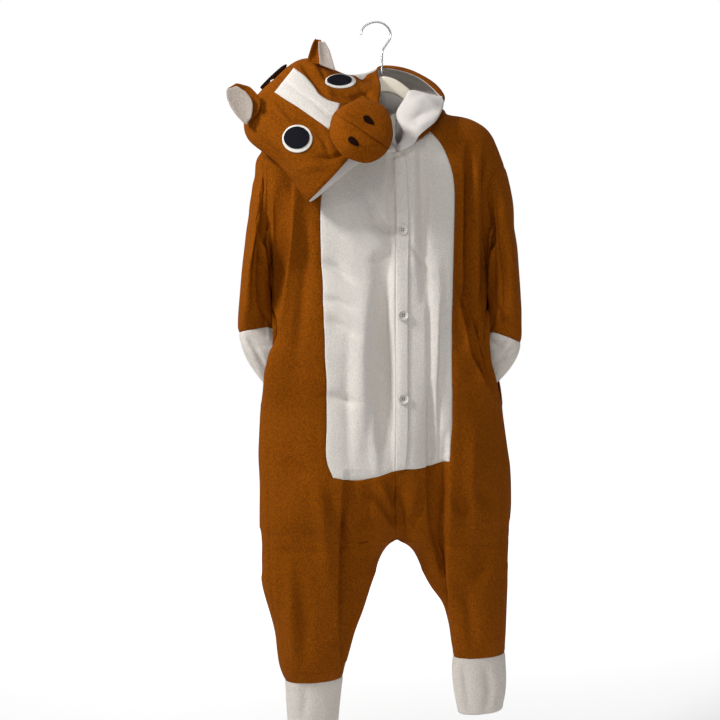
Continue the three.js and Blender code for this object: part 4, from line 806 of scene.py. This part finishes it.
def laid(node, thickness, onto, lift, wall, levels=LAID_LEVELS, change=None):
    """A flat piece of the frame, smoothed, changed if asked and laid on a surface."""
    points, faces, _ = net_of([node], thickness, 0)
    mesh = smoothed(mesh_from(node, points, faces), levels, True)
    for v in mesh.vertices:
        if change:
            change(v)
        toward = (v.co - EYE).normalized()
        hit = onto.ray_cast(v.co - toward * RAY_START, toward, RAY_LENGTH)[0]
        if hit:
            v.co = hit - toward * (lift + wall)
    mesh.update()
    return dressed(piece_of(mesh, None, "cloth_" + node, wall), SLOTS[node], node)


# Flat pieces on the hood's face: node, then its thickness in the frame, how far it stands off
# the fleece and its own thickness here, in metres.
FACE_PIECES = [
    ["blaze", 0.0012, 0.0003, 0.0012],
    ["eye_right", 0.001, 0.0003, 0.0011],
    ["pupil_right", 0.0008, 0.0016, 0.0009],
    ["eye_left", 0.001, 0.0003, 0.0011],
    ["pupil_left", 0.0008, 0.0016, 0.0009],
]
hood_surface = surface_of(made["hood_right"], made["hood_left"])
for node, thickness, lift, wall in FACE_PIECES:
    made[node] = laid(node, thickness, hood_surface, lift, wall)


# ---- padded pieces and hard pieces: the frame's own solids, smoothed ----
SOLID_LEVELS = 2
SOLID_WAVES = 0.3


def solid(node, levels=SOLID_LEVELS, waves=0.0, folds=(), slot=None):
    """One of the frame's solids, smoothed, with a share of the soft waves and some folds."""
    corners, triangles = merged(node)
    mesh = smoothed(mesh_from(node, corners, quads_of(corners, triangles)), levels)
    if waves:
        folded(mesh, folds, share=waves)
    return dressed(piece_of(mesh, None, "cloth_" + node, 0), slot or SLOTS[node], node)


NOSTRIL = {"thickness": 0.0008, "lift": 0.0002, "wall": 0.0009}
made["muzzle"] = solid("muzzle", MUZZLE_LEVELS, SOLID_WAVES, MUZZLE_FOLDS)
muzzle_surface = surface_of(made["muzzle"])
for side in ("left", "right"):
    node = "nostril_" + side
    made[node] = laid(node, NOSTRIL["thickness"], muzzle_surface, NOSTRIL["lift"], NOSTRIL["wall"])
made["mane"] = solid("mane")
for side in ("right", "left"):
    made["ear_outer_" + side] = solid("ear_outer_" + side, waves=SOLID_WAVES)
    # The inner ears wear fleece painted darker with the painted shade of their cup.
    made["ear_inner_" + side] = solid("ear_inner_" + side, waves=SOLID_WAVES, slot="ear_fleece")
    made["pocket_" + side] = solid("pocket_" + side)
made["hanger"] = solid("hanger")
made["hanger_hook"] = solid("hanger_hook")

# ---- the placket, drawn up under the collar ----
PLACKET = {"thickness": 0.0014, "lift": 0.0002, "wall": 0.0016}
PLACKET_TOP = {"from": -0.345, "stretch": 0.38, "lean": -0.05}


def to_the_neck(v):
    """Draws the placket's upper end up under the collar."""
    above = v.co.z - PLACKET_TOP["from"]
    if above > 0:
        v.co.z += above * PLACKET_TOP["stretch"]
        v.co.x += above * PLACKET_TOP["lean"]


fronts = [made[name] for name in ("belly_right", "belly_left", "front_right", "front_left")]
front_surface = surface_of(*fronts)
made["placket"] = laid(
    "placket",
    PLACKET["thickness"],
    front_surface,
    PLACKET["lift"],
    PLACKET["wall"],
    PLACKET_LEVELS,
    to_the_neck,
)
placket_surface = surface_of(made["placket"])

# ---- buttons: turned profile of radius and height in mm ----
BUTTON_TURN = [
    [0.0, 1.0], [2.6, 1.0], [4.6, 1.2], [5.6, 1.9], [6.4, 2.9], [7.4, 3.3], [8.3, 2.9],
    [8.8, 2.0], [8.8, 1.1], [8.2, 0.4], [0.0, 0.3],
]
BUTTON_STEPS = 48
# Button holes: flat discs in the dark pupil colour, painted shade in place of open holes.
BUTTON_HOLE_SHADE = {"radius": 0.9, "ring": 2.0, "height": 1.15, "steps": 16, "count": 4}
BUTTON_RAY = {"start": 0.03, "length": 0.08}


def button(node):
    """A turned button with four holes drawn as flat dark discs of painted shade, seated on the placket
    where the frame's button is.
    """
    low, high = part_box(node)
    middle = (low + high) / 2
    toward = (middle - EYE).normalized()
    start = middle - toward * BUTTON_RAY["start"]
    hit, normal, _, _ = placket_surface.ray_cast(start, toward, BUTTON_RAY["length"])
    normal = normal if normal.y < 0 else -normal
    turn = normal.to_track_quat("Z", "Y").to_matrix().to_4x4()
    place = Matrix.Translation(hit) @ turn
    corners, faces = [], []
    for radius, height in BUTTON_TURN:
        for i in range(BUTTON_STEPS):
            a = 2 * math.pi * i / BUTTON_STEPS
            at = Vector((radius * math.cos(a), radius * math.sin(a), height)) / 1000
            corners.append(place @ at)
    for k in range(len(BUTTON_TURN) - 1):
        for i in range(BUTTON_STEPS):
            j = (i + 1) % BUTTON_STEPS
            row = k * BUTTON_STEPS
            faces.append([row + i, row + BUTTON_STEPS + i, row + BUTTON_STEPS + j, row + j])
    mesh = bpy.data.meshes.new(node)
    mesh.from_pydata(corners, [], faces)
    work = bmesh.new()
    work.from_mesh(mesh)
    bmesh.ops.remove_doubles(work, verts=work.verts, dist=1e-6)
    bmesh.ops.recalc_face_normals(work, faces=work.faces)
    ring, size, height = (BUTTON_HOLE_SHADE[k] / 1000 for k in ("ring", "radius", "height"))
    for k in range(BUTTON_HOLE_SHADE["count"]):
        a = 2 * math.pi * (k + 0.5) / BUTTON_HOLE_SHADE["count"]
        spot = place @ Matrix.Translation((ring * math.cos(a), ring * math.sin(a), height))
        hole_shade_disc = bmesh.ops.create_circle(
            work,
            cap_ends=True,
            segments=BUTTON_HOLE_SHADE["steps"],
            radius=size,
            matrix=spot,
        )
        for f in {f for v in hole_shade_disc["verts"] for f in v.link_faces}:
            f.material_index = 1
    work.to_mesh(mesh)
    work.free()
    mesh.polygons.foreach_set("use_smooth", [True] * len(mesh.polygons))
    obj = bpy.data.objects.new("turned_" + node, mesh)
    bpy.context.scene.collection.objects.link(obj)
    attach(obj, "root")
    dressed(obj, "button", node)
    # The hole discs take the dark pupil colour as painted shade.
    obj.data.materials.append(MATERIALS["pupil"])
    return obj


for number in (1, 2, 3):
    made[f"button_{number}"] = button(f"button_{number}")

# ---- the turned edges at the neck ----
# Name, material, depth in mm at the top and at the bottom, bow in mm, then points down the left
# edge and down the right edge in picture pixels.
NECK_EDGES = [
    [
        "collar_inside", "lining", 12, 4, 3,
        [(384, 118), (384, 132), (385, 158)],
        [(412, 118), (411, 132), (410, 150)],
    ],
    [
        "collar_right", "white_fleece", -25, -38, 3,
        [(386, 117), (387, 126), (388, 136), (387, 144), (387, 153)],
        [(396, 113), (397, 122), (395.5, 131), (395.5, 139), (400, 152)],
    ],
    [
        "collar_left", "white_fleece", -24, -50, 4,
        [(399, 106), (402, 120), (403, 131), (401, 142), (397, 153)],
        [(410, 101), (409, 114), (409, 126), (409, 137), (407, 149)],
    ],
]
NECK_ROWS = 28
NECK_COLUMNS = 12
NECK_WAVE = {"height": 1.6, "across": 5, "down": 7}  # mm, and the size of a wave in pixels


def placed(x, y, depth):
    """The point that shows at x, y in the picture and lies depth metres behind the hanger's plane."""
    k = (depth - EYE.y) / -EYE.y
    right = EYE.x + (x - PICTURE_MIDDLE) * PIXEL * k
    return Vector((right, depth, EYE.z - (y - PICTURE_MIDDLE) * PIXEL * k))


def on_line(line, t):
    """The place at share t along a line of points, each stretch taking the same share."""
    at = t * (len(line) - 1)
    i = min(int(at), len(line) - 2)
    return Vector(line[i]).lerp(Vector(line[i + 1]), at - i)


def neck_edge(name, slot, top, bottom, bow, left, right):
    """One turned edge: a strip between two lines, bowed and a little wavy."""
    corners, faces = [], []
    for r in range(NECK_ROWS + 1):
        t = r / NECK_ROWS
        a = on_line(left, t)
        b = on_line(right, t)
        for c in range(NECK_COLUMNS + 1):
            x, y = a.lerp(b, c / NECK_COLUMNS)
            wave = NECK_WAVE["height"] * noise.noise(
                Vector((x / NECK_WAVE["across"], y / NECK_WAVE["down"], 0))
            )
            bowed = bow * math.sin(math.pi * c / NECK_COLUMNS)
            depth = top + (bottom - top) * t - bowed + wave
            corners.append(placed(x, y, depth / 1000))
    for r in range(NECK_ROWS):
        for c in range(NECK_COLUMNS):
            i = r * (NECK_COLUMNS + 1) + c
            faces.append([i, i + NECK_COLUMNS + 1, i + NECK_COLUMNS + 2, i + 1])
    mesh = bpy.data.meshes.new(name)
    mesh.from_pydata(corners, [], faces)
    mesh.update()
    return dressed(piece_of(mesh, None, name, WALL), slot)


for row in NECK_EDGES:
    made[row[0]] = neck_edge(*row)

# ---- stitches: sizes in mm, then rows of name, thread, cloth and the line in picture pixels ----
STITCH = {"length": 2.4, "pitch": 3.6, "radius": 0.28, "lift": 0.15}
STITCH_SIDES = 6
STITCH_RINGS = ((-0.5, 0.3), (-0.3, 1.0), (0.3, 1.0), (0.5, 0.3))  # shares of length and radius
STITCH_ROWS = [
    ["hood_edge", "thread_brown", "hood", (372, 70), (370, 84), (364, 96)],
    ["hood_hem", "thread_brown", "hood", (344, 160), (330, 176), (316, 190), (306, 197)],
    [
        "placket_edge", "thread_white", "placket",
        (396, 190), (397, 250), (398, 330), (397, 400), (397, 466),
    ],
    [
        "leg_hem_left", "thread_brown", "suit",
        (287, 668), (298, 672), (314, 674), (330, 672), (339, 668),
    ],
    [
        "leg_hem_right", "thread_brown", "suit",
        (454, 652), (466, 658), (478, 661), (492, 658), (504, 651),
    ],
]
STITCHED_ON = {
    "hood": hood_surface,
    "placket": placket_surface,
    "suit": surface_of(made["front_right"], made["front_left"]),
}


def seen_at(surface, x, y):
    """Where the picture's point lies on a surface, and which way the surface faces there."""
    right = (x - PICTURE_MIDDLE) * PIXEL
    down = (y - PICTURE_MIDDLE) * PIXEL
    ray = Vector((right, -EYE.y, -down)).normalized()
    hit, normal, _, _ = surface.ray_cast(EYE, ray)
    if hit is None:
        return None
    return hit, normal if normal.y < 0 else -normal


def one_stitch(p, n, way):
    """The corners of one stitch: four rings round a short line along the cloth."""
    side = way.cross(n).normalized()
    corners = []
    for share, size in STITCH_RINGS:
        middle = p + n * (STITCH["lift"] / 1000) + way * (share * STITCH["length"] / 1000)
        for i in range(STITCH_SIDES):
            a = 2 * math.pi * i / STITCH_SIDES
            arm = (side * math.cos(a) + n * math.sin(a)) * (size * STITCH["radius"] / 1000)
            corners.append(middle + arm)
    return corners


def stitch_faces(start):
    """The faces of one stitch whose corners start at a number."""
    faces = []
    last = len(STITCH_RINGS) - 1
    for ring in range(last):
        at = start + STITCH_SIDES * ring
        for i in range(STITCH_SIDES):
            j = (i + 1) % STITCH_SIDES
            faces.append([at + i, at + j, at + STITCH_SIDES + j, at + STITCH_SIDES + i])
    faces.append([start + i for i in reversed(range(STITCH_SIDES))])
    faces.append([start + last * STITCH_SIDES + i for i in range(STITCH_SIDES)])
    return faces


def stitches(name, thread, surface, line):
    """A row of stitches on a surface, along a line seen in the picture."""
    points = []
    for a, b in zip(line, line[1:]):
        steps = max(2, int(math.dist(a, b) * 2))
        for k in range(steps):
            x, y = Vector(a).lerp(Vector(b), k / steps)
            found = seen_at(surface, x, y)
            if found:
                points.append(found)
    corners, faces = [], []
    gone, next_one = 0.0, 0.0
    for (p, n), (q, _) in zip(points, points[1:]):
        gone += (q - p).length
        if gone < next_one or (q - p).length < TINY:
            continue
        next_one = gone + STITCH["pitch"] / 1000
        faces += stitch_faces(len(corners))
        corners += one_stitch(p, n, (q - p).normalized())
    mesh = bpy.data.meshes.new(name)
    mesh.from_pydata(corners, [], faces)
    mesh.polygons.foreach_set("use_smooth", [True] * len(mesh.polygons))
    obj = bpy.data.objects.new("stitches_" + name, mesh)
    bpy.context.scene.collection.objects.link(obj)
    obj.data.materials.append(MATERIALS[thread])
    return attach(obj, "root")


for name, thread, on, *line in STITCH_ROWS:
    stitches(name, thread, STITCHED_ON[on], line)

# ---- each piece's cut width and length in metres; the loop below only looks each piece up ----
CUT_SIZES = [
    ["front_right", 0.160, 0.935],
    ["front_left", 0.155, 0.880],
    ["back_right", 0.220, 0.935],
    ["back_left", 0.180, 0.880],
    ["belly_right", 0.116, 0.540],
    ["belly_left", 0.097, 0.525],
    ["sleeve_right", 0.172, 0.282],
    ["sleeve_left", 0.187, 0.292],
    ["sleeve_cuff_right", 0.170, 0.093],
    ["sleeve_cuff_left", 0.172, 0.091],
    ["leg_cuff_right", 0.234, 0.090],
    ["leg_cuff_left", 0.237, 0.092],
    ["hood_right", 0.275, 0.232],
    ["hood_lining_right", 0.275, 0.230],
    ["hood_left", 0.305, 0.158],
    ["hood_lining_left", 0.306, 0.156],
    ["blaze", 0.049, 0.105],
    ["placket", 0.022, 0.475],
    ["pocket_right", 0.179, 0.140],
    ["pocket_left", 0.191, 0.141],
    ["eye_right", 0.040, 0.042],
    ["eye_left", 0.054, 0.035],
    ["ear_outer_right", 0.037, 0.061],
    ["ear_outer_left", 0.022, 0.039],
    ["ear_inner_right", 0.028, 0.056],
    ["ear_inner_left", 0.019, 0.044],
    ["collar_inside", 0.042, 0.060],
    ["collar_right", 0.016, 0.058],
    ["collar_left", 0.016, 0.072],
]
for name, width, length in CUT_SIZES:
    made[name]
made["muzzle"]

# ---- floor, light and camera ----
PALE = 0.9
# Painted light: the floor glows white, weakly near the garment and more strongly further behind it; the
# glow's range of y and its strength.
FLOOR_GLOW = {"From Min": 0.3, "From Max": 2.4, "To Min": 0.25, "To Max": 0.95}  # y and strength
floor_mesh = bpy.data.meshes.new("floor")
around = [(-1, -1), (1, -1), (1, 1), (-1, 1)]
floor_corners = [(x * STAGE_HALF, y * STAGE_HALF, STAGE_FLOOR) for x, y in around]
floor_mesh.from_pydata(floor_corners, [], [[0, 1, 2, 3]])
floor = bpy.data.objects.new("floor", floor_mesh)
bpy.context.scene.collection.objects.link(floor)
pale = material("floor", (PALE, PALE, PALE), 0.9, 0, [], 0.0)
tree = pale.node_tree
split = tree.nodes.new("ShaderNodeSeparateXYZ")
tree.links.new(tree.nodes["Texture Coordinate"].outputs["Object"], split.inputs["Vector"])
reach = tree.nodes.new("ShaderNodeMapRange")
for socket, value in FLOOR_GLOW.items():
    reach.inputs[socket].default_value = value
tree.links.new(split.outputs["Y"], reach.inputs["Value"])
# The floor's glow is painted light from the floor itself.
tree.nodes["Principled BSDF"].inputs["Emission Color"].default_value = (1, 1, 1, 1)
tree.links.new(reach.outputs["Result"], tree.nodes["Principled BSDF"].inputs["Emission Strength"])
floor_mesh.materials.append(pale)

SKY_LIGHT = 0.17  # how strongly the sky lights the cloth
SKY_SEEN = 1.0  # how bright it looks behind it
world = bpy.data.worlds.new("studio")
world.use_nodes = True
tree = world.node_tree
dim = tree.nodes["Background"]
dim.inputs["Color"].default_value = (1, 1, 1, 1)
dim.inputs["Strength"].default_value = SKY_LIGHT
wall = tree.nodes.new("ShaderNodeBackground")
wall.inputs["Color"].default_value = (1, 1, 1, 1)
wall.inputs["Strength"].default_value = SKY_SEEN
either = tree.nodes.new("ShaderNodeMixShader")
path = tree.nodes.new("ShaderNodeLightPath")
tree.links.new(path.outputs["Is Camera Ray"], either.inputs["Fac"])
tree.links.new(dim.outputs["Background"], either.inputs[1])
tree.links.new(wall.outputs["Background"], either.inputs[2])
tree.links.new(either.outputs["Shader"], tree.nodes["World Output"].inputs["Surface"])
bpy.context.scene.world = world

# Lamps: name, place, size in metres and power in watts; all face the middle of the garment.
LAMP_AIM = Vector((0, 0, -0.5))
LAMPS = [
    ["key", (-1.4, -0.9, 0.8), 0.35, 37],
    ["front", (-0.1, -1.3, 0.8), 0.7, 6],
    ["fill", (1.6, -1.8, 0.0), 1.6, 4],
    ["back", (0.3, 1.4, 0.9), 1.4, 10],
]
for name, place, size, power in LAMPS:
    lamp = bpy.data.lights.new(name, "AREA")
    lamp.size = size
    lamp.energy = power
    obj = bpy.data.objects.new(name, lamp)
    obj.location = place
    aim = LAMP_AIM - obj.location
    obj.rotation_mode = "QUATERNION"
    obj.rotation_quaternion = aim.to_track_quat("-Z", "Y")
    bpy.context.scene.collection.objects.link(obj)

SENSOR = 36
LENS = 45.3  # makes the picture 720 pixels of PIXEL wide at the hanger
camera = bpy.data.cameras.new("camera")
camera.sensor_width = SENSOR
camera.lens = LENS
camera_object = bpy.data.objects.new("camera", camera)
camera_object.location = EYE
camera_object.rotation_euler = (math.pi / 2, 0, 0)
bpy.context.scene.collection.objects.link(camera_object)
bpy.context.scene.camera = camera_object
bpy.context.scene.view_settings.view_transform = "Standard"
